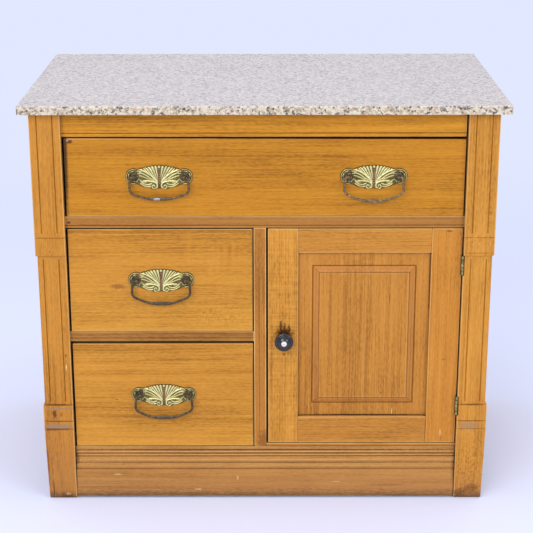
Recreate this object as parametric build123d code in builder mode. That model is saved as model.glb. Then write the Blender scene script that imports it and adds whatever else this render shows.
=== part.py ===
from build123d import *

import os
from math import atan2, cos, radians, sin, tan

# Commode washstand: a stone slab on a framed case with one long drawer over
# two small drawers and a cupboard. Millimetres, +Z up, the front faces -Y.
# The origin is the middle of the footprint, on the floor.

os.makedirs("parts", exist_ok=True)

# Overall size. The cupboard's width and the lower drawer's height take what is left.
overall_width = 773.0
overall_height = 685.0

# Widths of the front, from left to right
post_width = 49.0
small_bay_width = 303.5
centre_stile_width = 20.0

# Heights of the front, from the floor up
base_lift = 3.0
base_height = 92.5
lower_rail_height = 18.0
upper_bay_height = 177.9
upper_rail_height = 19.6
long_bay_height = 129.9
frieze_height = 41.1

# Stone slab
slab_thickness = 13.8
slab_depth = 463.0
slab_overhang_front = 16.3
slab_overhang_side = 16.0
slab_overhang_back = 9.0
slab_corner_radius = 4.0
slab_arris_radius = 2.2

# Front posts
post_depth = 42.0
waist_inset = 2.8
upper_block_bottom = 435.6
upper_block_height = 30.4
lower_block_top = 173.3
lower_block_height = 28.3
foot_band_height = 14.4
foot_taper = 3.2
foot_round = 4.0
flute_spacing = 25.2
flute_width = 2.2
flute_depth = 1.7
flute_end_margin = 8.0
waist_flute_margin = 6.5
line_width = 1.8
line_depth = 1.2

# Rear posts and back
rear_post_width = 38.0
rear_post_depth = 38.0
back_board_thickness = 9.0
back_board_count = 3
back_board_gap = 0.8
back_rebate_margin = 12.0
back_rail_thickness = 18.0
back_top_rail_height = 55.0
back_bottom_rail_height = 50.0

# Side frames
side_recess = 5.0
side_rail_thickness = 20.0
side_top_rail_height = 60.0
side_bottom_rail_height = 80.0
side_bottom_rail_lift = 45.0
side_panel_thickness = 7.0
side_panel_recess = 7.0
panel_groove_depth = 8.0

# Front framing
face_recess = 8.0
frame_thickness = 20.0
frieze_end_gap = 3.0
frieze_bead_height = 6.6
frieze_bead_radius = 2.6
quirk_width = 1.4
quirk_depth = 1.2
upper_rail_bead_height = 4.4
upper_rail_bead_radius = 1.7
lower_rail_bead_height = 6.4
lower_rail_bead_radius = 2.5

# Base board mouldings
base_fillet_height = 6.8
small_reed_height = 5.6
large_reed_height = 11.6
reed_quirk = 0.8
small_reed_bulge = 1.7
large_reed_bulge = 1.3
small_reed_stand_out = 0.6
large_reed_stand_out = 1.8
plinth_stand_out = 3.0

# Cupboard
partition_thickness = 12.0
floor_thickness = 10.0
floor_lip_thickness = 5.3

# Drawer runners, guides and stops
runner_thickness = 15.0
runner_reach = 15.0
runner_seat = 20.0
guide_height = 14.0
stop_length = 12.0
stop_width = 11.0
stop_height = 14.0
stop_clearance = 0.3

# Drawers
drawer_lift = 0.5
drawer_side_gap_left = 3.0
drawer_side_gap_right = 1.2
long_drawer_gap_left = 3.4
long_drawer_gap_right = 2.2
long_drawer_top_gap = 1.6
long_drawer_top_fall = 2.2
upper_drawer_top_gap = 1.9
lower_drawer_top_gap = 3.6
drawer_front_thickness = 20.0
drawer_side_thickness = 12.0
drawer_side_drop = 6.0
drawer_back_thickness = 10.0
drawer_back_drop = 8.0
drawer_bottom_thickness = 6.0
drawer_bottom_lift = 8.0
drawer_bottom_groove = 4.0
drawer_rear_margin = 10.0
dovetail_lap = 6.0
dovetail_pitch = 25.0
tail_tip_share = 0.64
tail_root_share = 0.44

# Door
door_gap_left = 3.0
door_gap_right = 1.8
door_gap_top = 1.2
door_gap_bottom = 1.2
door_stile_width = 49.5
door_top_rail_height = 41.0
door_bottom_rail_height = 47.0
door_tenon_length = 25.0
door_tenon_shoulder = 5.5
door_groove_depth = 9.0
door_groove_setback = 6.5
panel_tongue_thickness = 7.0
panel_field_margin = 24.5
panel_bevel_width = 8.0
panel_field_rise = 4.5
panel_quirk_width = 1.3
panel_quirk_depth = 1.0

# Butt hinges
hinge_height = 33.0
hinge_top_offset = 45.5
hinge_bottom_offset = 52.0
hinge_barrel_radius = 2.4
hinge_barrel_stand_out = 2.6
hinge_pin_radius = 1.2
hinge_pin_play = 0.05
hinge_leaf_thickness = 1.4
hinge_leaf_width = 17.0
hinge_knuckle_gap = 0.3
hinge_knuckle_count = 3
hinge_notch_play = 0.5

# Turning knob and its latch
knob_radius = 15.5
knob_reach = 22.5
knob_inset = 26.3
knob_height = 288.5
knob_rose_radius = 11.5
knob_rose_thickness = 2.5
knob_rose_bevel = 1.0
knob_neck_radius = 7.0
knob_neck_top = 8.5
knob_rim_low = 12.0
knob_rim_high = 16.0
knob_rim_round = 1.5
knob_step_radius = 10.6
knob_step_low = 16.7
knob_step_high = 18.5
knob_step_draft = 0.6
knob_crown_inset = 2.6
knob_crown_drop = 1.0
eye_radius = 4.9
eye_seat_depth = 3.0
eye_crown = 1.1
eye_rim = 0.2
spindle_radius = 3.0
spindle_play = 0.1
spindle_grip = 9.0
tongue_length = 41.0
tongue_width = 12.0
tongue_thickness = 3.0
latch_clearance = 0.3

# Drawer pulls
pull_post_spacing = 79.4
pull_rise = 2.1
plate_thickness = 1.6
plate_relief = 1.4
plate_end_reach = 5.3
plate_half_height = 18.0
lobe_radius = 12.9
lobe_reach = 1.0
fan_rib_count = 11
fan_tip_reach = 27.5
fan_tip_rise = 15.4
fan_tip_sag = 4.4
fan_foot_drop = 15.0
fan_scallop_width = 6.4
fan_rib_foot_width = 1.3
fan_rib_tip_width = 3.0
shoulder_radius = 8.0
shoulder_offset_x = 30.0
shoulder_rise = 4.6
scroll_radius = 7.0
scroll_offset_x = 10.0
scroll_drop = 14.6
leaf_radius = 6.6
leaf_offset_x = 24.0
leaf_drop = 11.0
long_pull_inset_left = 150.4
long_pull_inset_right = 145.4

# Pull posts and bails
rosette_radius = 6.6
rosette_rim_height = 0.9
rosette_height = 2.6
post_neck_radius = 2.6
post_eye_radius = 3.5
post_side_count = 8
pivot_stand_off = 9.5
bail_wire_radius = 2.1
bail_side_count = 8
bail_pin_play = 0.2
bail_arm_reach = 5.9
bail_corner_reach = 7.7
bail_shoulder_drop = 24.0
bail_belly_inset = 20.2
bail_drop = 39.2
bail_arm_bend = 3.0
bail_corner_bend = 6.0
bail_belly_bend = 68.0
bail_belly_bend_share = 0.95

# Places worked out from the sizes above
bay_width = overall_width - 2 * (slab_overhang_side + post_width)
bay_half = bay_width / 2
case_half = bay_half + post_width
stile_left = -bay_half + small_bay_width
stile_right = stile_left + centre_stile_width

case_height = overall_height - slab_thickness
frieze_bottom = case_height - frieze_height
upper_rail_top = frieze_bottom - long_bay_height
upper_rail_bottom = upper_rail_top - upper_rail_height
lower_rail_top = upper_rail_bottom - upper_bay_height
lower_rail_bottom = lower_rail_top - lower_rail_height
base_top = base_lift + base_height
floor_top = base_top + floor_lip_thickness

case_depth = slab_depth - slab_overhang_front - slab_overhang_back
front_y = -slab_depth / 2 + slab_overhang_front
back_y = front_y + case_depth
face_y = front_y + face_recess
frame_back_y = face_y + frame_thickness
post_back_y = front_y + post_depth
rear_post_front_y = back_y - rear_post_depth
back_board_front_y = back_y - back_board_thickness
rear_post_inner = case_half - rear_post_width

side_rail_outer = case_half - side_recess
side_rail_inner = side_rail_outer - side_rail_thickness
side_panel_outer = side_rail_outer - side_panel_recess
side_panel_inner = side_panel_outer - side_panel_thickness
side_bottom_rail_top = side_bottom_rail_lift + side_bottom_rail_height
side_top_rail_bottom = case_height - side_top_rail_height

drawer_back_y = rear_post_front_y - stop_length - stop_clearance

door_left = stile_right + door_gap_left
door_right = bay_half - door_gap_right
door_bottom = floor_top + door_gap_bottom
door_top = upper_rail_bottom - door_gap_top
door_back_y = face_y + frame_thickness

hinge_axis_x = bay_half - door_gap_right / 2
hinge_axis_y = face_y - hinge_barrel_stand_out
hinge_bottoms = {
    "upper": door_top - hinge_top_offset - hinge_height,
    "lower": door_bottom + hinge_bottom_offset,
}

knob_x = door_left + knob_inset


def block(low, high, mode=Mode.ADD):
    """Add or cut a box between two opposite corners, in the part that is open."""
    centre = [(a + b) / 2 for a, b in zip(low, high)]
    size = [abs(b - a) for a, b in zip(low, high)]
    with Locations(tuple(centre)):
        Box(*size, mode=mode)


def keep(name, label):
    """Label a finished piece and write its file."""
    name.part.label = label
    export_step(name.part, f"parts/{label}.step")


# Stone slab

with BuildPart() as stone_top:
    with BuildSketch(Plane.XY.offset(case_height)):
        Rectangle(overall_width, slab_depth)
    extrude(amount=slab_thickness)
    fillet(stone_top.edges().filter_by(Axis.Z), radius=slab_corner_radius)
    fillet(stone_top.faces().sort_by(Axis.Z)[-1].edges(), radius=slab_arris_radius)
keep(stone_top, "stone_top")


# Corner posts


def front_post(side, label):
    """Front corner post: fluted, set in at its waist, with blocks and a tapered foot."""
    inner_x = side * bay_half
    outer_x = side * case_half
    waist_x = outer_x - side * waist_inset
    waist_y = front_y + waist_inset
    centre_x = (inner_x + outer_x) / 2
    west_x = min(inner_x, outer_x)
    upper_block_top = upper_block_bottom + upper_block_height
    lower_block_bottom = lower_block_top - lower_block_height
    foot_top = lower_block_bottom - foot_band_height
    with BuildPart() as post:
        block((inner_x, front_y, 0), (outer_x, post_back_y, case_height))

        # The waist is set in at the front and on the outer side.
        with BuildSketch(Plane.XY.offset(lower_block_top)):
            Polygon(
                (inner_x, front_y),
                (outer_x, front_y),
                (outer_x, post_back_y),
                (waist_x, post_back_y),
                (waist_x, waist_y),
                (inner_x, waist_y),
                align=None,
            )
        extrude(amount=upper_block_bottom - lower_block_top, mode=Mode.SUBTRACT)

        # The foot tapers at the front and on the outer side.
        with BuildSketch(Plane.YZ.offset(west_x)):
            Polygon(
                (front_y, foot_top),
                (front_y, 0),
                (front_y + foot_taper, 0),
                align=None,
            )
        extrude(amount=post_width, mode=Mode.SUBTRACT)
        with BuildSketch(Plane.XZ.offset(-front_y)):
            Polygon(
                (outer_x, foot_top),
                (outer_x, 0),
                (outer_x - side * foot_taper, 0),
                align=None,
            )
        extrude(amount=-post_depth, mode=Mode.SUBTRACT)
        fillet(post.faces().sort_by(Axis.Z)[0].edges(), radius=foot_round)

        # Two flutes run down the upper length, and two stopped ones down the waist.
        flutes = (
            (front_y, upper_block_top + flute_end_margin, case_height),
            (
                waist_y,
                lower_block_top + waist_flute_margin,
                upper_block_bottom - waist_flute_margin,
            ),
        )
        for flute_y, flute_low, flute_high in flutes:
            with BuildSketch(Plane.XY.offset(flute_low)):
                for offset in (-flute_spacing / 2, flute_spacing / 2):
                    flute_x = centre_x + offset
                    Polygon(
                        (flute_x - flute_width / 2, flute_y),
                        (flute_x + flute_width / 2, flute_y),
                        (flute_x, flute_y + flute_depth),
                        align=None,
                    )
            extrude(amount=flute_high - flute_low, mode=Mode.SUBTRACT)

        # Cut lines mark the blocks, across the front and round the outer side.
        for line_z in (upper_block_top, lower_block_bottom, foot_top):
            with BuildSketch(Plane.YZ.offset(west_x)):
                Polygon(
                    (front_y, line_z - line_width / 2),
                    (front_y, line_z + line_width / 2),
                    (front_y + line_depth, line_z),
                    align=None,
                )
            extrude(amount=post_width, mode=Mode.SUBTRACT)
            with BuildSketch(Plane.XZ.offset(-front_y)):
                Polygon(
                    (outer_x, line_z - line_width / 2),
                    (outer_x, line_z + line_width / 2),
                    (outer_x - side * line_depth, line_z),
                    align=None,
                )
            extrude(amount=-post_depth, mode=Mode.SUBTRACT)

        # Groove for the side panel
        block(
            (
                side * side_panel_inner,
                post_back_y - panel_groove_depth,
                side_bottom_rail_top - panel_groove_depth,
            ),
            (
                side * side_panel_outer,
                post_back_y,
                side_top_rail_bottom + panel_groove_depth,
            ),
            mode=Mode.SUBTRACT,
        )

        # Notches that the hinge barrels and leaves lie in
        if side > 0:
            for hinge_bottom in hinge_bottoms.values():
                block(
                    (
                        inner_x,
                        front_y,
                        hinge_bottom - hinge_notch_play,
                    ),
                    (
                        hinge_axis_x + hinge_barrel_radius + hinge_notch_play,
                        face_y,
                        hinge_bottom + hinge_height + hinge_notch_play,
                    ),
                    mode=Mode.SUBTRACT,
                )
                block(
                    (inner_x, face_y, hinge_bottom),
                    (
                        inner_x + hinge_leaf_thickness,
                        face_y + hinge_leaf_width,
                        hinge_bottom + hinge_height,
                    ),
                    mode=Mode.SUBTRACT,
                )
    keep(post, label)


def rear_post(side, label):
    """Rear corner post, rebated for the back boards and grooved for the side panel."""
    with BuildPart() as post:
        block(
            (side * rear_post_inner, rear_post_front_y, 0),
            (side * case_half, back_y, case_height),
        )
        fillet(post.faces().sort_by(Axis.Z)[0].edges(), radius=foot_round)
        block(
            (side * rear_post_inner, back_board_front_y, back_bottom_rail_bottom),
            (side * (case_half - back_rebate_margin), back_y, case_height),
            mode=Mode.SUBTRACT,
        )
        block(
            (
                side * side_panel_inner,
                rear_post_front_y,
                side_bottom_rail_top - panel_groove_depth,
            ),
            (
                side * side_panel_outer,
                rear_post_front_y + panel_groove_depth,
                side_top_rail_bottom + panel_groove_depth,
            ),
            mode=Mode.SUBTRACT,
        )
    keep(post, label)


# Side frames


def side_rail(side, rail_bottom, rail_height, groove_on_top, label):
    """Side rail between the posts, grooved along one edge for the panel."""
    rail_top = rail_bottom + rail_height
    groove_edge = rail_top if groove_on_top else rail_bottom
    groove_end = groove_edge + (-1 if groove_on_top else 1) * panel_groove_depth
    with BuildPart() as rail:
        block(
            (side * side_rail_inner, post_back_y, rail_bottom),
            (side * side_rail_outer, rear_post_front_y, rail_top),
        )
        block(
            (side * side_panel_inner, post_back_y, groove_edge),
            (side * side_panel_outer, rear_post_front_y, groove_end),
            mode=Mode.SUBTRACT,
        )
    keep(rail, label)


def side_panel(side, label):
    """Flat side panel, housed all round in the posts and rails."""
    with BuildPart() as panel:
        block(
            (
                side * side_panel_inner,
                post_back_y - panel_groove_depth,
                side_bottom_rail_top - panel_groove_depth,
            ),
            (
                side * side_panel_outer,
                rear_post_front_y + panel_groove_depth,
                side_top_rail_bottom + panel_groove_depth,
            ),
        )
    keep(panel, label)


back_bottom_rail_top = base_top - runner_thickness
back_bottom_rail_bottom = back_bottom_rail_top - back_bottom_rail_height

for side, hand in ((-1, "left"), (1, "right")):
    front_post(side, f"front_post_{hand}")
    rear_post(side, f"rear_post_{hand}")
    side_rail(
        side,
        side_top_rail_bottom,
        side_top_rail_height,
        False,
        f"side_top_rail_{hand}",
    )
    side_rail(
        side,
        side_bottom_rail_lift,
        side_bottom_rail_height,
        True,
        f"side_bottom_rail_{hand}",
    )
    side_panel(side, f"side_panel_{hand}")


# Front rails


def beaded_rail(start_x, end_x, bottom_top, rail_depth, bead_height, bead_radius, label):
    """Front rail with a bead along its lower edge, set off by a quirk above it."""
    rail_bottom, rail_top = bottom_top
    quirk_z = rail_bottom + bead_height
    with BuildPart() as rail:
        with BuildSketch(Plane.YZ.offset(start_x)):
            Polygon(
                (face_y, rail_bottom),
                (face_y, quirk_z - quirk_width / 2),
                (face_y + quirk_depth, quirk_z),
                (face_y, quirk_z + quirk_width / 2),
                (face_y, rail_top),
                (face_y + rail_depth, rail_top),
                (face_y + rail_depth, rail_bottom),
                align=None,
            )
        extrude(amount=end_x - start_x)
        lower_arris = rail.edges().filter_by(Axis.X).group_by(Axis.Z)[0].sort_by(Axis.Y)[0]
        fillet(lower_arris, radius=bead_radius)
    keep(rail, label)


drawer_rail_depth = post_depth - face_recess

beaded_rail(
    -bay_half,
    bay_half - frieze_end_gap,
    (frieze_bottom, case_height),
    frame_thickness,
    frieze_bead_height,
    frieze_bead_radius,
    "frieze_rail",
)
beaded_rail(
    -bay_half,
    bay_half,
    (upper_rail_bottom, upper_rail_top),
    drawer_rail_depth,
    upper_rail_bead_height,
    upper_rail_bead_radius,
    "drawer_rail_upper",
)
beaded_rail(
    -bay_half,
    stile_left,
    (lower_rail_bottom, lower_rail_top),
    drawer_rail_depth,
    lower_rail_bead_height,
    lower_rail_bead_radius,
    "drawer_rail_lower",
)

with BuildPart() as centre_stile:
    block(
        (stile_left, face_y, base_top),
        (stile_right, frame_back_y, upper_rail_bottom),
    )
keep(centre_stile, "centre_stile")


# Base board: a fillet, two small reeds, two large reeds and a flat plinth

small_reed_y = face_y - small_reed_stand_out
large_reed_y = face_y - large_reed_stand_out
plinth_y = face_y - plinth_stand_out

with BuildPart() as base_board:
    with BuildSketch(Plane.YZ.offset(-bay_half)):
        with BuildLine():
            reed_top = base_top - base_fillet_height
            Line((frame_back_y, base_lift), (frame_back_y, base_top))
            Line((frame_back_y, base_top), (face_y, base_top))
            Line((face_y, base_top), (face_y, reed_top))
            last = (face_y, reed_top)
            reeds = (
                (small_reed_y, small_reed_height, small_reed_bulge),
                (small_reed_y, small_reed_height, small_reed_bulge),
                (large_reed_y, large_reed_height, large_reed_bulge),
                (large_reed_y, large_reed_height, large_reed_bulge),
            )
            for reed_y, reed_height, reed_bulge in reeds:
                top = (reed_y, last[1] - reed_quirk)
                belly = (reed_y - reed_bulge, last[1] - (reed_quirk + reed_height) / 2)
                bottom = (reed_y, last[1] - reed_height)
                Line(last, top)
                ThreePointArc(top, belly, bottom)
                last = bottom
            Line(last, (plinth_y, last[1] - reed_quirk))
            Line((plinth_y, last[1] - reed_quirk), (plinth_y, base_lift))
            Line((plinth_y, base_lift), (frame_back_y, base_lift))
        make_face()
    extrude(amount=bay_width)
keep(base_board, "base_board")


# Cupboard partition and floor

partition_right = stile_left + partition_thickness

with BuildPart() as partition:
    block(
        (stile_left, frame_back_y, back_bottom_rail_top),
        (partition_right, back_board_front_y, upper_rail_bottom),
    )
keep(partition, "partition")

with BuildPart() as cupboard_floor:
    block(
        (partition_right, frame_back_y, floor_top - floor_thickness),
        (side_rail_inner, back_board_front_y, floor_top),
    )
    block(
        (bay_half, frame_back_y, floor_top - floor_thickness),
        (side_rail_inner, post_back_y, floor_top),
        mode=Mode.SUBTRACT,
    )
    block(
        (rear_post_inner, rear_post_front_y, floor_top - floor_thickness),
        (side_rail_inner, back_board_front_y, floor_top),
        mode=Mode.SUBTRACT,
    )
    block((stile_right, face_y, base_top), (bay_half, frame_back_y, floor_top))
keep(cupboard_floor, "cupboard_floor")


# Back

back_rail_front_y = back_board_front_y - back_rail_thickness

with BuildPart() as back_top_rail:
    block(
        (-rear_post_inner, back_rail_front_y, case_height - back_top_rail_height),
        (rear_post_inner, back_board_front_y, case_height),
    )
keep(back_top_rail, "back_top_rail")

with BuildPart() as back_bottom_rail:
    block(
        (-rear_post_inner, back_rail_front_y, back_bottom_rail_bottom),
        (rear_post_inner, back_board_front_y, back_bottom_rail_top),
    )
keep(back_bottom_rail, "back_bottom_rail")

back_run = case_height - back_bottom_rail_bottom + back_board_gap
back_board_pitch = back_run / back_board_count

with BuildPart() as back_boards:
    for board in range(back_board_count):
        board_bottom = back_bottom_rail_bottom + board * back_board_pitch
        block(
            (-(case_half - back_rebate_margin), back_board_front_y, board_bottom),
            (
                case_half - back_rebate_margin,
                back_y,
                board_bottom + back_board_pitch - back_board_gap,
            ),
        )
keep(back_boards, "back_boards")


# Drawer runners, guides and stops


def post_runner(side, bay_bottom):
    """Runner and guide strip fixed between a front and a rear post."""
    block(
        (side * (bay_half - runner_reach), post_back_y, bay_bottom - runner_thickness),
        (side * (bay_half + runner_seat), rear_post_front_y, bay_bottom),
    )
    block(
        (side * bay_half, post_back_y, bay_bottom),
        (side * (bay_half + runner_seat), rear_post_front_y, bay_bottom + guide_height),
    )


def partition_runner(bay_bottom):
    """Runner fixed to the left face of the partition."""
    block(
        (stile_left - runner_reach, post_back_y, bay_bottom - runner_thickness),
        (stile_left, rear_post_front_y, bay_bottom),
    )


with BuildPart() as long_drawer_runners:
    for side in (-1, 1):
        post_runner(side, upper_rail_top)
keep(long_drawer_runners, "long_drawer_runners")

with BuildPart() as small_drawer_runners:
    for bay_bottom in (base_top, lower_rail_top):
        post_runner(-1, bay_bottom)
        partition_runner(bay_bottom)
keep(small_drawer_runners, "small_drawer_runners")

bay_spans = {
    "long": (-bay_half, bay_half, upper_rail_top),
    "upper": (-bay_half, stile_left, lower_rail_top),
    "lower": (-bay_half, stile_left, base_top),
}

with BuildPart() as drawer_stops:
    for bay_left, bay_right, bay_bottom in bay_spans.values():
        for stop_x in (
            bay_left + runner_reach - stop_width,
            bay_right - runner_reach,
        ):
            block(
                (stop_x, rear_post_front_y - stop_length, bay_bottom),
                (stop_x + stop_width, rear_post_front_y, bay_bottom + stop_height),
            )
keep(drawer_stops, "drawer_stops")


# Drawer pulls, made once in a frame of their own: x to the right, y up and z out
# from the drawer's face, with the bail's pivots at y = 0

post_offset = pull_post_spacing / 2
lobe_offset = post_offset + lobe_reach

fan_ribs = []
for rib in range(fan_rib_count):
    share = 2 * rib / (fan_rib_count - 1) - 1
    fan_ribs.append((share * fan_tip_reach, fan_tip_rise - fan_tip_sag * share**2))

with BuildPart() as pull_plate:
    # Outline: an oval, two end lobes with their shoulders, the scalloped fan,
    # scrolls and leaves
    with BuildSketch():
        with Locations((0, -pull_rise)):
            Ellipse(post_offset + plate_end_reach, plate_half_height)
        with Locations((-lobe_offset, 0), (lobe_offset, 0)):
            Circle(lobe_radius)
        with Locations((-shoulder_offset_x, shoulder_rise), (shoulder_offset_x, shoulder_rise)):
            Circle(shoulder_radius)
        with Locations(*fan_ribs):
            Circle(fan_scallop_width / 2)
        with Locations((-scroll_offset_x, -scroll_drop), (scroll_offset_x, -scroll_drop)):
            Circle(scroll_radius)
        with Locations((-leaf_offset_x, -leaf_drop), (leaf_offset_x, -leaf_drop)):
            Circle(leaf_radius)
    extrude(amount=plate_thickness)

    # Ribs of the fan stand proud of the plate.
    foot_half = fan_rib_foot_width / 2
    tip_half = fan_rib_tip_width / 2
    with BuildSketch(Plane.XY.offset(plate_thickness)):
        for tip_x, tip_y in fan_ribs:
            Polygon(
                (-foot_half, -fan_foot_drop),
                (foot_half, -fan_foot_drop),
                (tip_x + tip_half, tip_y),
                (tip_x - tip_half, tip_y),
                align=None,
            )
    extrude(amount=plate_relief)

    # Each post: a rosette, a neck and an eye, all eight-sided, bored for the bail
    eye_flat = post_eye_radius * tan(radians(22.5))
    post_rows = (
        (rosette_radius, 0),
        (rosette_radius, plate_thickness + rosette_rim_height),
        (post_neck_radius, plate_thickness + rosette_height),
        (post_neck_radius, pivot_stand_off - post_eye_radius),
        (post_eye_radius, pivot_stand_off - eye_flat),
        (post_eye_radius, pivot_stand_off + eye_flat),
        (eye_flat, pivot_stand_off + post_eye_radius),
    )
    for post_x in (-post_offset, post_offset):
        for rows in zip(post_rows, post_rows[1:]):
            for row_radius, row_height in rows:
                with BuildSketch(Plane.XY.offset(row_height)):
                    with Locations((post_x, 0)):
                        RegularPolygon(row_radius, side_count=post_side_count)
            loft(ruled=True)
        with Locations((post_x, 0, pivot_stand_off)):
            Cylinder(
                bail_wire_radius + bail_pin_play,
                2 * post_eye_radius,
                rotation=(0, 90, 0),
                mode=Mode.SUBTRACT,
            )

belly_half_width = post_offset - bail_belly_inset
corner_half_width = post_offset + bail_corner_reach
belly_turn = atan2(bail_drop - bail_shoulder_drop, corner_half_width - belly_half_width)
widest_belly_bend = belly_half_width / tan(belly_turn / 2)

with BuildPart() as pull_bail:
    # One bent eight-sided wire: half of it is swept from the middle of its belly,
    # then mirrored.
    with BuildLine(Plane.XY.offset(pivot_stand_off)) as bail_path:
        FilletPolyline(
            (0, -bail_drop),
            (belly_half_width, -bail_drop),
            (corner_half_width, -bail_shoulder_drop),
            (post_offset + bail_arm_reach, 0),
            (post_offset - post_eye_radius, 0),
            radius=(
                min(bail_belly_bend, bail_belly_bend_share * widest_belly_bend),
                bail_corner_bend,
                bail_arm_bend,
            ),
        )
    with BuildSketch(Plane(origin=(0, -bail_drop, pivot_stand_off), z_dir=(1, 0, 0))):
        RegularPolygon(bail_wire_radius, side_count=bail_side_count)
    sweep(path=bail_path.line)
    mirror(about=Plane.YZ)


def place_pull(pull_x, pivot_z, plate_label, bail_label):
    """Put a plate and its bail on a drawer's face."""
    seat = Plane(origin=(pull_x, face_y, pivot_z), x_dir=(1, 0, 0), z_dir=(0, -1, 0))
    with BuildPart() as plate:
        with Locations(seat.location):
            add(pull_plate.part)
    keep(plate, plate_label)
    with BuildPart() as handle:
        with Locations(seat.location):
            add(pull_bail.part)
    keep(handle, bail_label)


# Drawers


def dovetail(root_y, tip_y, tail_z, pitch):
    """One tail, wider at its tip than at its root, in the sketch that is open."""
    Polygon(
        (root_y, tail_z - tail_root_share * pitch / 2),
        (root_y, tail_z + tail_root_share * pitch / 2),
        (tip_y, tail_z + tail_tip_share * pitch / 2),
        (tip_y, tail_z - tail_tip_share * pitch / 2),
        align=None,
    )


def drawer(name, left, right, bottom, top, top_fall, pull_xs):
    """One drawer: lapped dovetails at the front, a housed back and a grooved bottom."""
    root_y = face_y + drawer_front_thickness
    tip_y = face_y + dovetail_lap
    side_top = top - top_fall - drawer_side_drop
    side_height = side_top - bottom
    tail_count = max(2, round(side_height / dovetail_pitch))
    pitch = side_height / tail_count
    tail_heights = [bottom + (tail + 0.5) * pitch for tail in range(tail_count)]
    inner_left = left + drawer_side_thickness
    inner_right = right - drawer_side_thickness
    back_front_y = drawer_back_y - drawer_rear_margin - drawer_back_thickness
    back_rear_y = drawer_back_y - drawer_rear_margin
    panel_low = (
        inner_left - drawer_bottom_groove,
        root_y - drawer_bottom_groove,
        bottom + drawer_bottom_lift,
    )
    panel_high = (
        inner_right + drawer_bottom_groove,
        back_rear_y,
        bottom + drawer_bottom_lift + drawer_bottom_thickness,
    )
    back_low = (inner_left - drawer_bottom_groove, back_front_y, panel_high[2])
    back_high = (
        inner_right + drawer_bottom_groove,
        back_rear_y,
        side_top - drawer_back_drop,
    )

    with BuildPart() as front:
        with BuildSketch(Plane.XZ.offset(-face_y)):
            Polygon(
                (left, bottom),
                (right, bottom),
                (right, top - top_fall),
                (left, top),
                align=None,
            )
        extrude(amount=-drawer_front_thickness)
        for end in (left, inner_right):
            with BuildSketch(Plane.YZ.offset(end)):
                for tail_z in tail_heights:
                    dovetail(root_y, tip_y, tail_z, pitch)
            extrude(amount=drawer_side_thickness, mode=Mode.SUBTRACT)
        block(panel_low, panel_high, mode=Mode.SUBTRACT)
    keep(front, f"{name}_front")

    for end, hand in ((left, "left"), (inner_right, "right")):
        with BuildPart() as board:
            with BuildSketch(Plane.YZ.offset(end)):
                Polygon(
                    (root_y, bottom),
                    (drawer_back_y, bottom),
                    (drawer_back_y, side_top),
                    (root_y, side_top),
                    align=None,
                )
                for tail_z in tail_heights:
                    dovetail(root_y, tip_y, tail_z, pitch)
            extrude(amount=drawer_side_thickness)
            block(panel_low, panel_high, mode=Mode.SUBTRACT)
            block(back_low, back_high, mode=Mode.SUBTRACT)
        keep(board, f"{name}_side_{hand}")

    with BuildPart() as back:
        block(back_low, back_high)
    keep(back, f"{name}_back")

    with BuildPart() as panel:
        block(panel_low, panel_high)
    keep(panel, f"{name}_bottom")

    pivot_z = (bottom + top) / 2 + pull_rise
    for pull_x, suffix in pull_xs:
        place_pull(pull_x, pivot_z, f"{name}_pull_plate{suffix}", f"{name}_bail{suffix}")


long_left = -bay_half + long_drawer_gap_left
long_right = bay_half - long_drawer_gap_right
drawer(
    "long_drawer",
    long_left,
    long_right,
    upper_rail_top + drawer_lift,
    frieze_bottom - long_drawer_top_gap,
    long_drawer_top_fall,
    (
        (long_left + long_pull_inset_left, "_left"),
        (long_right - long_pull_inset_right, "_right"),
    ),
)

small_left = -bay_half + drawer_side_gap_left
small_right = stile_left - drawer_side_gap_right
small_middle = (small_left + small_right) / 2
drawer(
    "upper_drawer",
    small_left,
    small_right,
    lower_rail_top + drawer_lift,
    upper_rail_bottom - upper_drawer_top_gap,
    0,
    ((small_middle, ""),),
)
drawer(
    "lower_drawer",
    small_left,
    small_right,
    base_top + drawer_lift,
    lower_rail_bottom - lower_drawer_top_gap,
    0,
    ((small_middle, ""),),
)


# Door frame

groove_front_y = face_y + door_groove_setback
groove_back_y = groove_front_y + panel_tongue_thickness
panel_left = door_left + door_stile_width - door_groove_depth
panel_right = door_right - door_stile_width + door_groove_depth
panel_bottom = door_bottom + door_bottom_rail_height - door_groove_depth
panel_top = door_top - door_top_rail_height + door_groove_depth


def door_rail(rail_bottom, rail_top):
    """Door rail with a tenon at each end and a groove for the panel."""
    inner_left = door_left + door_stile_width
    inner_right = door_right - door_stile_width
    with BuildPart() as rail:
        block((inner_left, face_y, rail_bottom), (inner_right, door_back_y, rail_top))
        tenon_low = max(rail_bottom, panel_top)
        tenon_high = rail_top
        if rail_bottom < (panel_top + panel_bottom) / 2:
            tenon_low = rail_bottom
            tenon_high = panel_bottom
        block(
            (inner_left - door_tenon_length, groove_front_y, tenon_low + door_tenon_shoulder),
            (inner_right + door_tenon_length, groove_back_y, tenon_high - door_tenon_shoulder),
        )
        block(
            (panel_left, groove_front_y, panel_bottom),
            (panel_right, groove_back_y, panel_top),
            mode=Mode.SUBTRACT,
        )
    return rail


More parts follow.
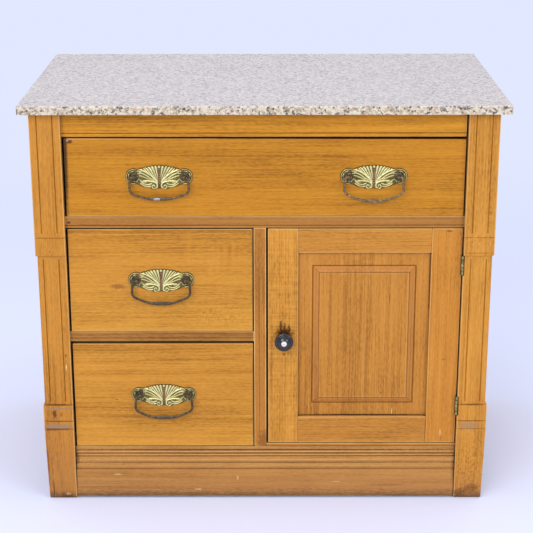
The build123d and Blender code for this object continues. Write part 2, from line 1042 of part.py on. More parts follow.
with BuildPart() as door_panel:
    # A tongue all round, then a bevel up to the raised field.
    block(
        (panel_left, groove_front_y, panel_bottom),
        (panel_right, groove_back_y, panel_top),
    )
    panel_field_inset = door_groove_depth + panel_field_margin
    panel_middle = ((panel_left + panel_right) / 2, (panel_bottom + panel_top) / 2)
    bevel_outer = (
        panel_right - panel_left - 2 * panel_field_inset,
        panel_top - panel_bottom - 2 * panel_field_inset,
    )
    with BuildSketch(Plane.XZ.offset(-groove_front_y)):
        with Locations(panel_middle):
            Rectangle(*bevel_outer)
    with BuildSketch(Plane.XZ.offset(-groove_front_y + panel_field_rise)):
        with Locations(panel_middle):
            Rectangle(*(side - 2 * panel_bevel_width for side in bevel_outer))
    loft()

    # A fine quirk runs round the foot of the bevel.
    with BuildSketch(Plane.XZ.offset(-groove_front_y)):
        with Locations(panel_middle):
            Rectangle(*(side + 2 * panel_quirk_width for side in bevel_outer))
            Rectangle(*bevel_outer, mode=Mode.SUBTRACT)
    extrude(amount=-panel_quirk_depth, mode=Mode.SUBTRACT)
keep(door_panel, "door_panel")

door_top_rail = door_rail(door_top - door_top_rail_height, door_top)
keep(door_top_rail, "door_top_rail")
door_bottom_rail = door_rail(door_bottom, door_bottom + door_bottom_rail_height)
keep(door_bottom_rail, "door_bottom_rail")

with BuildPart() as door_stile_left:
    block(
        (door_left, face_y, door_bottom),
        (door_left + door_stile_width, door_back_y, door_top),
    )
    add(door_top_rail.part, mode=Mode.SUBTRACT)
    add(door_bottom_rail.part, mode=Mode.SUBTRACT)
    add(door_panel.part, mode=Mode.SUBTRACT)
    with Locations((knob_x, (face_y + door_back_y) / 2, knob_height)):
        Cylinder(
            spindle_radius + spindle_play,
            frame_thickness,
            rotation=(90, 0, 0),
            mode=Mode.SUBTRACT,
        )
keep(door_stile_left, "door_stile_left")

with BuildPart() as door_stile_right:
    block(
        (door_right - door_stile_width, face_y, door_bottom),
        (door_right, door_back_y, door_top),
    )
    add(door_top_rail.part, mode=Mode.SUBTRACT)
    add(door_bottom_rail.part, mode=Mode.SUBTRACT)
    add(door_panel.part, mode=Mode.SUBTRACT)
    for hinge_bottom in hinge_bottoms.values():
        block(
            (door_right - hinge_leaf_thickness, face_y, hinge_bottom),
            (door_right, face_y + hinge_leaf_width, hinge_bottom + hinge_height),
            mode=Mode.SUBTRACT,
        )
keep(door_stile_right, "door_stile_right")


# Butt hinges: the post's leaf has the two outer knuckles and the pin,
# and the door's leaf has the middle knuckle.


def knuckle(low_z, high_z, bore_radius):
    """One hinge knuckle round the pin, in the part that is open."""
    with Locations((hinge_axis_x, hinge_axis_y, (low_z + high_z) / 2)):
        Cylinder(hinge_barrel_radius, high_z - low_z)
        if bore_radius:
            Cylinder(bore_radius, high_z - low_z, mode=Mode.SUBTRACT)


for place, hinge_bottom in hinge_bottoms.items():
    hinge_top = hinge_bottom + hinge_height
    middle_low = hinge_bottom + hinge_height / hinge_knuckle_count
    middle_high = hinge_top - hinge_height / hinge_knuckle_count

    with BuildPart() as post_leaf:
        block(
            (bay_half, face_y, hinge_bottom),
            (bay_half + hinge_leaf_thickness, face_y + hinge_leaf_width, hinge_top),
        )
        for low_z, high_z in (
            (hinge_bottom, middle_low - hinge_knuckle_gap),
            (middle_high + hinge_knuckle_gap, hinge_top),
        ):
            block(
                (bay_half, hinge_axis_y, low_z),
                (bay_half + hinge_leaf_thickness, face_y, high_z),
            )
            knuckle(low_z, high_z, 0)
        with Locations((hinge_axis_x, hinge_axis_y, hinge_bottom + hinge_height / 2)):
            Cylinder(hinge_pin_radius, hinge_height)
    keep(post_leaf, f"hinge_leaf_post_{place}")

    with BuildPart() as door_leaf:
        block(
            (door_right - hinge_leaf_thickness, face_y, hinge_bottom),
            (door_right, face_y + hinge_leaf_width, hinge_top),
        )
        block(
            (door_right - hinge_leaf_thickness, hinge_axis_y, middle_low),
            (door_right, face_y, middle_high),
        )
        knuckle(middle_low, middle_high, hinge_pin_radius + hinge_pin_play)
    keep(door_leaf, f"hinge_leaf_door_{place}")


# Turning knob, its white eye, and the spindle with the latch tongue

knob_base_y = face_y - latch_clearance
knob_base = (knob_x, knob_base_y, knob_height)
knob_plane = Plane(origin=knob_base, x_dir=(1, 0, 0), z_dir=(0, -1, 0))
knob_section = Plane(origin=knob_base, x_dir=(1, 0, 0), z_dir=(0, 0, 1))
knob_turn_axis = Axis(origin=knob_base, direction=(0, 1, 0))
knob_length = knob_reach - latch_clearance
eye_seat_reach = knob_length - eye_seat_depth

with BuildPart() as door_knob:
    with BuildSketch(knob_section):
        with BuildLine():
            rim_x = knob_radius - knob_rim_round
            Polyline(
                (0, 0),
                (knob_rose_radius, 0),
                (knob_rose_radius, -knob_rose_thickness),
                (knob_neck_radius, -knob_rose_thickness - knob_rose_bevel),
                (knob_neck_radius, -knob_neck_top),
                (rim_x, -knob_rim_low),
                (knob_radius, -knob_rim_low - knob_rim_round),
                (knob_radius, -knob_rim_high + knob_rim_round),
                (rim_x, -knob_rim_high),
                (knob_step_radius, -knob_step_low),
                (knob_step_radius - knob_step_draft, -knob_step_high),
            )
            ThreePointArc(
                (knob_step_radius - knob_step_draft, -knob_step_high),
                (knob_step_radius - knob_crown_inset, knob_crown_drop - knob_length),
                (eye_radius + eye_rim, -knob_length),
            )
            Polyline(
                (eye_radius + eye_rim, -knob_length),
                (eye_radius, eye_rim - knob_length),
                (eye_radius, -eye_seat_reach),
                (0, -eye_seat_reach),
                (0, 0),
            )
        make_face()
    revolve(axis=knob_turn_axis)
    with Locations((knob_x, knob_base_y - spindle_grip / 2, knob_height)):
        Cylinder(spindle_radius, spindle_grip, rotation=(90, 0, 0), mode=Mode.SUBTRACT)
keep(door_knob, "door_knob")

with BuildPart() as knob_eye:
    with BuildSketch(knob_plane.offset(eye_seat_reach)):
        Circle(eye_radius)
    extrude(amount=eye_seat_depth - eye_crown)
    front_edge = knob_eye.faces().sort_by(Axis.Y)[0].edges()
    chamfer(front_edge, length=eye_crown)
keep(knob_eye, "knob_eye")

tongue_front_y = door_back_y + latch_clearance

with BuildPart() as latch_spindle:
    with BuildSketch(knob_plane.offset(spindle_grip)):
        Circle(spindle_radius)
    extrude(amount=-(spindle_grip + tongue_front_y + tongue_thickness - knob_base_y))
    with BuildSketch(Plane.XZ.offset(-tongue_front_y)):
        with Locations((knob_x, knob_height - tongue_length / 2 + tongue_width / 2)):
            SlotOverall(tongue_length, tongue_width, rotation=90)
    extrude(amount=-tongue_thickness)
keep(latch_spindle, "latch_spindle")
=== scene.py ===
from math import cos, pi, radians, sin

import bpy
import numpy as np
from mathutils import Euler, Matrix, Vector


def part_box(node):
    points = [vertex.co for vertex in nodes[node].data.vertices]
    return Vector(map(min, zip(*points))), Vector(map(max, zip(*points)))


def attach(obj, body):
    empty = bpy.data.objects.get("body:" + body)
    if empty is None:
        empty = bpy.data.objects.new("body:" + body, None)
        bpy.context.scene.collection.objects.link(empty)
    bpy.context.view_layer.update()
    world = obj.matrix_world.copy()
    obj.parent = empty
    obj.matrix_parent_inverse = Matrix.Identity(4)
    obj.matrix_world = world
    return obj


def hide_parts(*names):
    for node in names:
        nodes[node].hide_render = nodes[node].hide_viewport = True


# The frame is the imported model: metres, +Z up, the front of the washstand faces -Y.

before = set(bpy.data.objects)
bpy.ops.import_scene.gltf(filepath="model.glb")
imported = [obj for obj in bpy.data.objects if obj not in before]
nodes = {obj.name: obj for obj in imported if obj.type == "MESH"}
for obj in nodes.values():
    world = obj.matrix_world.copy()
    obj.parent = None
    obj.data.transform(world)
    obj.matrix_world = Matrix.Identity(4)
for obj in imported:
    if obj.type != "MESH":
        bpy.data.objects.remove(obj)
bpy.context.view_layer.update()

MM = 0.001


def middle(node):
    """The middle of a node's box."""
    low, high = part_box(node)
    return (low + high) / 2


# Camera, stage and light

LENS = 98.96
SENSOR = 36.0
CAMERA_PLACE = (0.0059, -2.4664, 1.1619)
CAMERA_PITCH = 18.29
CAMERA_YAW = 0.08
CAMERA_ROLL = -0.09

STAGE_COLOUR = (0.74, 0.74, 0.76, 1)
FLOOR_SEEN = (0.725, 0.775, 1.0, 1)
BACKDROP_SEEN = (0.753, 0.807, 1.0, 1)
FLOOR_GLOW = 0.12
FADE_START, FADE_END = 0.7, 2.4
STAGE_RADIUS = 40.0
STAGE_SIDES = 96
BLACK = (0, 0, 0, 1)
SURROUND_COLOUR = (0.97, 0.97, 1.0, 1)
SURROUND_STRENGTH = 0.62

# Each lamp's name, place, aim, width and height, and power
LAMPS = (
    ("lamp_front", (-1.4, -3.2, 2.4), (0, 0, 0.35), (2.4, 1.8), 57),
    ("lamp_right", (2.2, -2.6, 1.9), (0, 0, 0.35), (1.8, 1.8), 23),
    ("lamp_top", (0.0, -0.2, 3.0), (0, 0, 0.3), (2.6, 2.2), 32),
)


def make_camera():
    """The camera stands where the photograph was taken from."""
    data = bpy.data.cameras.new("camera")
    data.lens = LENS
    data.sensor_width = SENSOR
    camera = bpy.data.objects.new("camera", data)
    camera.location = CAMERA_PLACE
    tilt = Euler((radians(90 - CAMERA_PITCH), 0, radians(CAMERA_YAW)), "XYZ").to_matrix()
    roll = Matrix.Rotation(radians(CAMERA_ROLL), 3, "Z")
    camera.rotation_euler = (tilt @ roll).to_euler()
    bpy.context.scene.collection.objects.link(camera)
    bpy.context.scene.camera = camera


def add_mesh(name, points, faces, smooth=True):
    """A new mesh object from points and faces."""
    mesh = bpy.data.meshes.new(name)
    mesh.from_pydata([tuple(p) for p in points], [], faces)
    mesh.validate()
    if smooth:
        mesh.polygons.foreach_set("use_smooth", [True] * len(mesh.polygons))
    made = bpy.data.objects.new(name, mesh)
    bpy.context.scene.collection.objects.link(made)
    return made


def shown_rays(tree):
    """1 where the camera, a reflection or a clear surface looks, for the plain background."""
    shown = tree.nodes.new("ShaderNodeLightPath").outputs["Is Camera Ray"]
    rays = shown.node.outputs
    for kind in ("Is Glossy Ray", "Is Transmission Ray"):
        either = tree.nodes.new("ShaderNodeMath")
        either.operation = "MAXIMUM"
        tree.links.new(shown, either.inputs[0])
        tree.links.new(rays[kind], either.inputs[1])
        shown = either.outputs[0]
    return shown


def make_stage():
    """A pale floor that fades into a plain pale background all round."""
    turns = [2 * pi * i / STAGE_SIDES for i in range(STAGE_SIDES)]
    points = [(STAGE_RADIUS * cos(turn), STAGE_RADIUS * sin(turn), 0) for turn in turns]
    floor = add_mesh("floor", points, [tuple(range(STAGE_SIDES))], smooth=False)
    g = Graph("floor")
    shown = shown_rays(g.tree)
    fade = g.band(g.length(g.combine(g.x, g.y, 0.0)), FADE_START, FADE_END)
    near = g.mix(shown, STAGE_COLOUR, FLOOR_SEEN)
    g.put("Base Color", g.mix(g.times(shown, fade), near, BLACK))
    g.put("Emission Color", g.mix(fade, FLOOR_SEEN, BACKDROP_SEEN))
    glow = g.math("MULTIPLY_ADD", fade, 1 - FLOOR_GLOW, FLOOR_GLOW)
    g.put("Emission Strength", g.times(shown, glow))
    g.put("Roughness", 0.9)
    g.put("Specular IOR Level", 0.0)
    floor.data.materials.append(g.material)


def area_light(name, place, aim, size, power):
    """One soft lamp that looks from its place towards a point."""
    data = bpy.data.lights.new(name, "AREA")
    data.shape = "RECTANGLE"
    data.size, data.size_y = size
    data.energy = power
    lamp = bpy.data.objects.new(name, data)
    lamp.location = place
    lamp.rotation_euler = (Vector(aim) - Vector(place)).to_track_quat("-Z", "Y").to_euler()
    bpy.context.scene.collection.objects.link(lamp)


def make_light():
    """An even white surround, and large soft lamps in front, at the right and above."""
    world = bpy.data.worlds.new("surround")
    world.use_nodes = True
    tree = world.node_tree
    lit = tree.nodes["Background"]
    lit.inputs["Color"].default_value = SURROUND_COLOUR
    lit.inputs["Strength"].default_value = SURROUND_STRENGTH
    plain = tree.nodes.new("ShaderNodeBackground")
    plain.inputs["Color"].default_value = BACKDROP_SEEN
    choose = tree.nodes.new("ShaderNodeMixShader")
    tree.links.new(shown_rays(tree), choose.inputs[0])
    tree.links.new(lit.outputs[0], choose.inputs[1])
    tree.links.new(plain.outputs[0], choose.inputs[2])
    tree.links.new(choose.outputs[0], tree.nodes["World Output"].inputs["Surface"])
    bpy.context.scene.world = world
    for lamp in LAMPS:
        area_light(*lamp)


# Materials


def srgb(red, green, blue):
    """A colour from 0 to 255 as it looks on a screen, as linear values with alpha."""
    shares = (red / 255, green / 255, blue / 255)
    return (*(s / 12.92 if s <= 0.04045 else ((s + 0.055) / 1.055) ** 2.4 for s in shares), 1)


def scaled(colour, factors):
    """A linear colour with each channel multiplied."""
    return (*(min(1.0, c * f) for c, f in zip(colour[:3], factors)), 1)


RECESS_SAMPLES = 6


class Graph:
    """The nodes of one material, built with short calls. Places are in metres."""

    def __init__(self, name):
        self.material = bpy.data.materials.new(name)
        self.material.use_nodes = True
        self.tree = self.material.node_tree
        self.shader = self.tree.nodes["Principled BSDF"]
        self.place = self.node("ShaderNodeTexCoord").outputs["Object"]
        self.x, self.y, self.z = self.node("ShaderNodeSeparateXYZ", self.place).outputs

    def node(self, kind, *inputs, named={}, **settings):
        """A new node, with its first inputs in order, other inputs by name, and settings."""
        made = self.tree.nodes.new(kind)
        for key, value in settings.items():
            setattr(made, key, value)
        for socket, value in zip(made.inputs, inputs):
            self.link(socket, value)
        for socket, value in named.items():
            self.link(made.inputs[socket], value)
        return made

    def link(self, socket, value):
        """Links a socket to an output, or writes a plain value in it."""
        if isinstance(value, bpy.types.NodeSocket):
            self.tree.links.new(value, socket)
        else:
            socket.default_value = value

    def put(self, socket, value):
        """Sets one of the shader's own sockets."""
        self.link(self.shader.inputs[socket], value)

    def math(self, operation, *values):
        return self.node("ShaderNodeMath", *values, operation=operation).outputs[0]

    def times(self, first, second):
        return self.math("MULTIPLY", first, second)

    def vector(self, operation, *values):
        return self.node("ShaderNodeVectorMath", *values, operation=operation)

    def combine(self, x, y, z):
        return self.node("ShaderNodeCombineXYZ", x, y, z).outputs[0]

    def stretch(self, place, scale, shift=(0, 0, 0)):
        """A place multiplied along each axis, then moved."""
        return self.vector("MULTIPLY_ADD", place, scale, shift).outputs[0]

    def noise(self, place, detail=2, rough=0.5):
        """Smooth noise, mostly between 0.3 and 0.7."""
        inputs = {"Vector": place, "Scale": 1.0, "Detail": detail, "Roughness": rough}
        return self.node("ShaderNodeTexNoise", named=inputs).outputs["Fac"]

    def speckle(self, pitch, detail, rough=0.5):
        """Noise with one pitch, per metre, along every axis."""
        return self.noise(self.stretch(self.place, (pitch,) * 3), detail, rough)

    def band(self, value, low, high, low_out=0.0, high_out=1.0):
        """A value taken smoothly from one range to another, and held at its ends."""
        inputs = (value, low, high, low_out, high_out)
        return self.node("ShaderNodeMapRange", *inputs, interpolation_type="SMOOTHSTEP").outputs[0]

    def mix(self, share, first, second):
        made = self.node("ShaderNodeMix", share, data_type="RGBA", blend_type="MIX")
        self.link(made.inputs[6], first)
        self.link(made.inputs[7], second)
        return made.outputs[2]

    def cover(self, mask, share, colour, over):
        """A colour with another over it, at the given share where the mask is 1."""
        return self.mix(self.times(mask, share), colour, over)

    def bump(self, height, distance, strength):
        inputs = {"Strength": strength, "Distance": distance, "Height": height}
        return self.node("ShaderNodeBump", named=inputs).outputs[0]

    def finish(self, colour, rough, metallic=0.0, bump=None):
        """Sets the shader's colour, roughness and metal, and its bump if there is one."""
        self.put("Base Color", colour)
        self.put("Roughness", rough)
        self.put("Metallic", metallic)
        if bump:
            self.put("Normal", self.bump(*bump))
        return self.material

    def ramp(self, value, *stops):
        """A colour for a value, from stops of (place, colour)."""
        made = self.node("ShaderNodeValToRGB", value)
        elements = made.color_ramp.elements
        while len(elements) < len(stops):
            elements.new(0.5)
        for element, (place, colour) in zip(elements, stops):
            element.position = place
            element.color = colour
        return made.outputs["Color"]

    def length(self, vector):
        return self.vector("LENGTH", vector).outputs["Value"]

    def blend_add(self, *shares):
        """The sum of (value, weight) pairs."""
        total = 0.0
        for value, weight in shares:
            total = self.math("MULTIPLY_ADD", value, weight, total)
        return total

    def recess(self, distance):
        """1 in the open, falling to 0 down in corners and grooves."""
        inputs = {"Distance": distance}
        made = self.node("ShaderNodeAmbientOcclusion", named=inputs, samples=RECESS_SAMPLES)
        return made.outputs["AO"]

    def edge_distance(self, low, high, axes):
        """Distance in metres from the nearest side of a box, along the named axes."""
        nearest = 1.0
        for axis in axes:
            value = (self.x, self.y, self.z)[axis]
            for gap in (
                self.math("SUBTRACT", value, low[axis]),
                self.math("SUBTRACT", high[axis], value),
            ):
                nearest = self.math("MINIMUM", gap, nearest)
        return nearest

    def spot(self, centre, half_size, ragged=0.5, grain=(300, 300, 300), hardness=0.45):
        """A soft ragged blot on a front, 1 in its middle. Centre and half size are (x, z)."""
        (cx, cz), (rx, rz) = centre, half_size
        place = self.stretch(self.place, (1 / rx, 0, 1 / rz), (-cx / rx, 0, -cz / rz))
        edge = self.noise(self.stretch(self.place, grain), detail=2)
        reach = self.math("MULTIPLY_ADD", edge, 2 * ragged, -ragged)
        reach = self.math("ADD", self.length(place), reach)
        return self.band(reach, 1.0, hardness)

    def marked(self, colour, spots):
        """A colour with stains, scratches, painted highlights and painted shade over it, each made
        by mark.
        """
        for spot_colour, share, centre, half, ragged in spots:
            colour = self.cover(self.spot(centre, half, ragged), share, colour, spot_colour)
        return colour


# Wood: the grain runs along X, Y or Z; rings are cut from a long virtual tree

RING_PITCH = 95.0
FIBRE_PITCH = (6.0, 430.0, 430.0)
PORE_PITCH = (60.0, 850.0, 850.0)
FLECK_PITCH = (120.0, 440.0, 440.0)
TONE_PITCH = (2.6, 11.0, 11.0)
BLOTCH_PITCH = (14.0, 30.0, 30.0)
WANDER_PITCH = (1.8, 5.0, 5.0)
WANDER = 0.030
TREE_STRETCH = 0.05

# Near black brown for soiling and painted shade in recesses and gaps.
DIRT_AND_SHADE = srgb(44, 25, 10)
# Pale for rubbed edges, and for painted highlights on reed crests and a panel's field.
PALE_WEAR_AND_HIGHLIGHT = srgb(236, 190, 122)
# Darker pink for the foot of a board, partly wear and partly painted shade.
WORN_AND_SHADED_PINK = srgb(182, 130, 88)
BEVEL_WORN = srgb(196, 128, 78)
SOLE_GRIME = srgb(84, 66, 52)
# Brown for grime and painted shade in a panel's quirk, crease and mitres.
CREASE_GRIME_AND_SHADE = srgb(98, 58, 26)
SEED_SHIFT = (7.313, 3.17, 1.73)
RING_BEND = 0.7
TONE_MIDDLE = 1.075
# Places on the tone's ramp, and what the tint is multiplied by there
WOOD_TONES = (
    (0.0, (0.56, 0.48, 0.36)),
    (0.28, (0.86, 0.82, 0.73)),
    (0.5, (1, 1, 1)),
    (0.78, (1.14, 1.19, 1.38)),
)
WARM_TINT = (1.03, 0.88, 0.72)
FOOT_TINT = (0.86, 0.80, 0.74)
FOOT_LOW = 0.02
SOLE_HIGH, SOLE_LOW = 0.026, 0.010
HOLLOW_REACH = 0.011
WOOD_SPECULAR = 0.24

# Axes along the grain, across the board and through it
GRAIN_AXES = {"x": (0, 2, 1), "z": (2, 0, 1), "y": (1, 2, 0), "zy": (2, 1, 0)}


def wood(
    name, grain, tint, seed, low, high,
    figures=(), spots=(), border=None, foot=0.0, painted_light_slope=0.0, wear=0.5, dirt_and_shade=0.8, flecks=0.6,
):
    """Old varnished wood for one board, cut from its own place in the tree.

    Each figure is (strength, pitch along, pitch across, middle, half size) of a ray figure.
    spots are (colour, share, centre, half size, ragged). border is the raised field of a
    panel. Below foot the board turns darker and pinker, partly wear and partly painted shade,
    with soiling along its sole. The tone's rate with height is painted light: paler upwards
    when it is positive and darker upwards when it is negative. Recesses get soiling and
    painted shade, at a share set per board.
    """
    g = Graph(name)
    axes = GRAIN_AXES[grain]
    order = [(g.x, g.y, g.z)[axis] for axis in axes]
    shift = tuple(seed * step for step in SEED_SHIFT)
    board = g.combine(*order)
    wander = g.noise(g.stretch(board, WANDER_PITCH, shift), detail=2)
    wander = g.math("MULTIPLY_ADD", wander, WANDER, -WANDER / 2)
    moved = g.vector("ADD", board, g.combine(0.0, wander, wander)).outputs[0]
    centre = [(a + b) / 2 for a, b in zip(low, high)]
    along_mid, across_mid, depth_mid = (centre[axis] for axis in axes)
    heart = (
        along_mid + 0.3 * sin(seed * 2.1),
        across_mid + 0.11 * sin(seed * 1.3 + 0.5),
        depth_mid + 0.035 + 0.03 * sin(seed * 3.7),
    )
    tree = (TREE_STRETCH, 1.0, 1.0)
    from_heart = g.length(g.stretch(moved, tree, [-h * t for h, t in zip(heart, tree)]))
    round_heart = g.times(from_heart, RING_PITCH)
    bend = g.times(order[0], RING_BEND)
    rings = g.noise(g.combine(round_heart, bend, seed * 1.0), detail=4, rough=0.6)
    fibre = g.noise(g.stretch(board, FIBRE_PITCH, shift), detail=3, rough=0.6)
    pores = g.band(g.noise(g.stretch(board, PORE_PITCH, shift), detail=1), 0.62, 0.72)
    broad = g.noise(g.stretch(board, TONE_PITCH, shift), detail=3, rough=0.55)
    blotch = g.noise(g.stretch(board, BLOTCH_PITCH, shift), detail=3, rough=0.6)
    fleck = g.noise(g.stretch(board, FLECK_PITCH, shift), detail=1)
    tone = g.blend_add(
        (rings, 0.85), (fibre, 1.0), (broad, 0.7), (blotch, 0.35), (pores, -0.12), (fleck, flecks)
    )
    tone = g.math("SUBTRACT", tone, TONE_MIDDLE + flecks / 2)
    # Painted light: the tone changes steadily with height, paler upwards for a positive rate and
    # darker upwards for a negative one.
    if painted_light_slope:
        tone = g.math("MULTIPLY_ADD", g.math("SUBTRACT", g.z, centre[2]), painted_light_slope, tone)
    for strength, along, across, place, half in figures:
        rays = g.noise(g.stretch(moved, (along, across, across), shift), detail=1)
        where = g.spot(place, half, ragged=0.45, grain=(25, 25, 25), hardness=0.3)
        rays = g.times(g.math("SUBTRACT", rays, 0.5), where)
        tone = g.math("MULTIPLY_ADD", rays, strength, tone)
    colour = g.ramp(tone, *((place, scaled(tint, factors)) for place, factors in WOOD_TONES))
    warm = g.band(broad, 0.36, 0.62)
    colour = g.cover(warm, 0.20, colour, scaled(tint, WARM_TINT))
    if foot:
        height = g.math("MULTIPLY_ADD", blotch, 0.05, g.z)
        # Partly wear and partly painted shade: darker and pinker below foot.
        worn_and_shaded_low = g.band(height, foot, FOOT_LOW)
        colour = g.cover(worn_and_shaded_low, 0.42, colour, scaled(WORN_AND_SHADED_PINK, FOOT_TINT))
        sole = g.band(g.math("MULTIPLY_ADD", fleck, 0.016, g.z), SOLE_HIGH, SOLE_LOW)
        colour = g.cover(sole, 0.7, colour, SOLE_GRIME)
    edge = g.edge_distance(low, high, axes[:2])
    worn = g.band(g.math("MULTIPLY_ADD", blotch, -0.0022, edge), 0.0008, -0.0006)
    colour = g.cover(worn, wear, colour, PALE_WEAR_AND_HIGHLIGHT)
    colour = g.marked(colour, spots)
    if border:
        colour = border_lines(g, colour, border, blotch)
    # Soiling and painted shade: dark where recesses and neighbouring parts shade the board.
    hollow = g.math("MULTIPLY_ADD", blotch, 0.25, g.recess(HOLLOW_REACH))
    recess_dirt_and_shade = g.times(g.band(hollow, 0.98, 0.35), dirt_and_shade)
    colour = g.mix(recess_dirt_and_shade, colour, DIRT_AND_SHADE)
    g.put("Specular IOR Level", WOOD_SPECULAR)
    rough = g.blend_add((fibre, 0.22), (blotch, 0.20), (recess_dirt_and_shade, 0.3))
    height = g.blend_add((fibre, 1.0), (pores, -0.8), (rings, 0.5))
    return g.finish(colour, g.math("ADD", rough, 0.22), bump=(height, 0.00025, 0.5))


# Lines along a panel's bevel: place in bevels, place in metres, half width, share, colour
BORDER_LINES = (
    # Two dark lines of grime and painted shade, then a pale painted highlight.
    (0.45, 0.0, 0.0009, 0.20, CREASE_GRIME_AND_SHADE),
    (1.0, -0.0003, 0.0013, 0.55, CREASE_GRIME_AND_SHADE),
    (1.0, 0.0017, 0.0010, 0.14, PALE_WEAR_AND_HIGHLIGHT),
)
BORDER_WANDER = 0.0012


def border_lines(g, colour, border, blotch):
    """Grime and painted shade in the quirk round a panel's raised field, a worn bevel with painted
    shade at its mitres, and a soft inner line that is a painted highlight.
    """
    (low_x, low_z), (high_x, high_z), bevel = border
    gap = g.edge_distance((low_x, 0, low_z), (high_x, 0, high_z), (0, 2))
    gap = g.math("MULTIPLY_ADD", g.math("SUBTRACT", blotch, 0.5), BORDER_WANDER, gap)
    on_bevel = g.band(gap, bevel + 0.0004, bevel - 0.0008)
    on_bevel = g.times(g.band(gap, -0.0004, 0.0006), on_bevel)
    colour = g.cover(on_bevel, 0.25, colour, BEVEL_WORN)
    gap_x = g.edge_distance((low_x, 0, 0), (high_x, 0, 0), (0,))
    gap_z = g.edge_distance((0, 0, low_z), (0, 0, high_z), (2,))
    # Painted shade along the mitres where the bevels meet.
    mitre = g.band(g.math("ABSOLUTE", g.math("SUBTRACT", gap_x, gap_z)), 0.0011, 0.0004)
    colour = g.cover(g.times(mitre, on_bevel), 0.45, colour, CREASE_GRIME_AND_SHADE)
    for bevels, past, half, share, line_colour in BORDER_LINES:
        away = g.math("ABSOLUTE", g.math("SUBTRACT", gap, bevels * bevel + past))
        patchy = g.band(blotch, 0.2, 0.62, 0.55 * share, 1.15 * share)
        line = g.times(g.band(away, half, half * 0.3), patchy)
        colour = g.mix(line, colour, line_colour)
    return colour


# Granite: grains of several minerals between cells of a cracked pattern

GRAIN_PITCH = 310.0
FINE_GRAIN_PITCH = 620.0
GRAIN_WARP = 0.004
WARP_PITCH = 180.0
# Painted reflection of the pale surround on the stone's top.
PAINTED_TOP_REFLECTION = srgb(184, 182, 198)
STONE_SPECULAR = 0.32


def granite():
    """Polished speckled granite: cream, tan, pink, grey and blue-black grains, with a painted pale
    reflection on its upward faces.
    """
    g = Graph("granite")
    warp = g.node("ShaderNodeTexNoise", g.stretch(g.place, (WARP_PITCH,) * 3))
    bent = g.vector("MULTIPLY_ADD", warp.outputs["Color"], (GRAIN_WARP,) * 3, g.place).outputs[0]
    pick, pick_fine = (
        g.node(
            "ShaderNodeSeparateColor",
            g.node("ShaderNodeTexVoronoi", named={"Vector": bent, "Scale": pitch}).outputs["Color"],
        ).outputs
        for pitch in (GRAIN_PITCH, FINE_GRAIN_PITCH)
    )
    colour = g.ramp(
        pick[0],
        (0.0, srgb(16, 20, 40)),
        (0.085, srgb(40, 44, 60)),
        (0.13, srgb(122, 116, 118)),
        (0.25, srgb(166, 148, 124)),
        (0.40, srgb(192, 176, 148)),
        (0.52, srgb(218, 209, 188)),
        (0.82, srgb(226, 219, 202)),
        (0.94, srgb(200, 170, 154)),
    )
    small = g.ramp(
        pick_fine[0],
        (0.0, srgb(40, 44, 62)),
        (0.10, srgb(140, 130, 124)),
        (0.42, srgb(204, 192, 174)),
        (0.9, srgb(234, 228, 214)),
    )
    colour = g.mix(0.16, colour, small)
    cloud = g.speckle(9, 3)
    colour = g.cover(g.band(cloud, 0.4, 0.65), 0.14, colour, srgb(205, 190, 182))
    # Painted reflection: upward faces are painted paler and greyer, as the polished top reflects
    # the pale surround.
    normal = g.node("ShaderNodeTexCoord").outputs["Normal"]
    upwards = g.node("ShaderNodeSeparateXYZ", normal).outputs[2]
    colour = g.cover(g.band(upwards, 0.5, 0.95), 0.42, colour, PAINTED_TOP_REFLECTION)
    g.put("Specular IOR Level", STONE_SPECULAR)
    rough = g.math("MULTIPLY_ADD", pick[1], 0.10, 0.30)
    return g.finish(colour, rough, bump=(pick[1], 0.00006, 0.5))


# Metals and the knob


def plate_brass():
    """Stamped brass, dark down in its pattern and rubbed bright along its ridges."""
    g = Graph("pull_plate_brass")
    ridge = g.node("ShaderNodeAttribute", attribute_name="ridge").outputs["Fac"]
    mottle = g.speckle(420, 3, 0.6)
    broad = g.speckle(60, 2)
    slit = g.node("ShaderNodeAttribute", attribute_name="slit").outputs["Fac"]
    level = g.blend_add((ridge, 1.0), (mottle, 0.34), (broad, 0.25))
    level = g.math("SUBTRACT", level, 0.295)
    colour = g.ramp(
        level,
        (0.0, srgb(40, 34, 18)),
        (0.20, srgb(92, 80, 40)),
        (0.40, srgb(156, 142, 80)),
        (0.66, srgb(202, 190, 120)),
        (0.95, srgb(244, 236, 176)),
    )
    green = g.band(g.speckle(150, 2), 0.52, 0.66)
    colour = g.cover(green, 0.25, colour, srgb(122, 124, 74))
    red = g.ramp(level, (0.05, srgb(96, 60, 38)), (0.5, srgb(188, 140, 96)))
    colour = g.cover(slit, 0.85, colour, red)
    rough = g.math("MULTIPLY_ADD", level, -0.22, 0.52)
    return g.finish(colour, rough, 0.6, (mottle, 0.0002, 0.5))


BRONZE_TONES = (
    (0.34, srgb(40, 30, 18)), (0.50, srgb(66, 52, 34)),
    (0.64, srgb(98, 80, 52)), (0.78, srgb(150, 130, 92)),
)


def dark_bronze(name, tone=1.0, spots=()):
    """Worn bronze wire, brown where hands rub it and nearly black in its hollows, which is patina
    and painted shade.
    """
    g = Graph(name)
    mottle = g.speckle(260, 3, 0.65)
    fine = g.speckle(1100, 2)
    level = g.blend_add((mottle, 0.75), (fine, 0.35))
    colour = g.ramp(
        level,
        *((place, scaled(colour, (tone,) * 3)) for place, colour in BRONZE_TONES),
    )
    colour = g.marked(colour, spots)
    # Patina and painted shade: nearly black where recesses and neighbouring parts shade the bronze.
    hollow = g.band(g.recess(0.0035), 0.92, 0.45)
    colour = g.cover(hollow, 0.85, colour, srgb(22, 17, 12))
    rough = g.math("MULTIPLY_ADD", fine, 0.25, 0.20)
    return g.finish(colour, rough, 0.3, (level, 0.0005, 0.6))


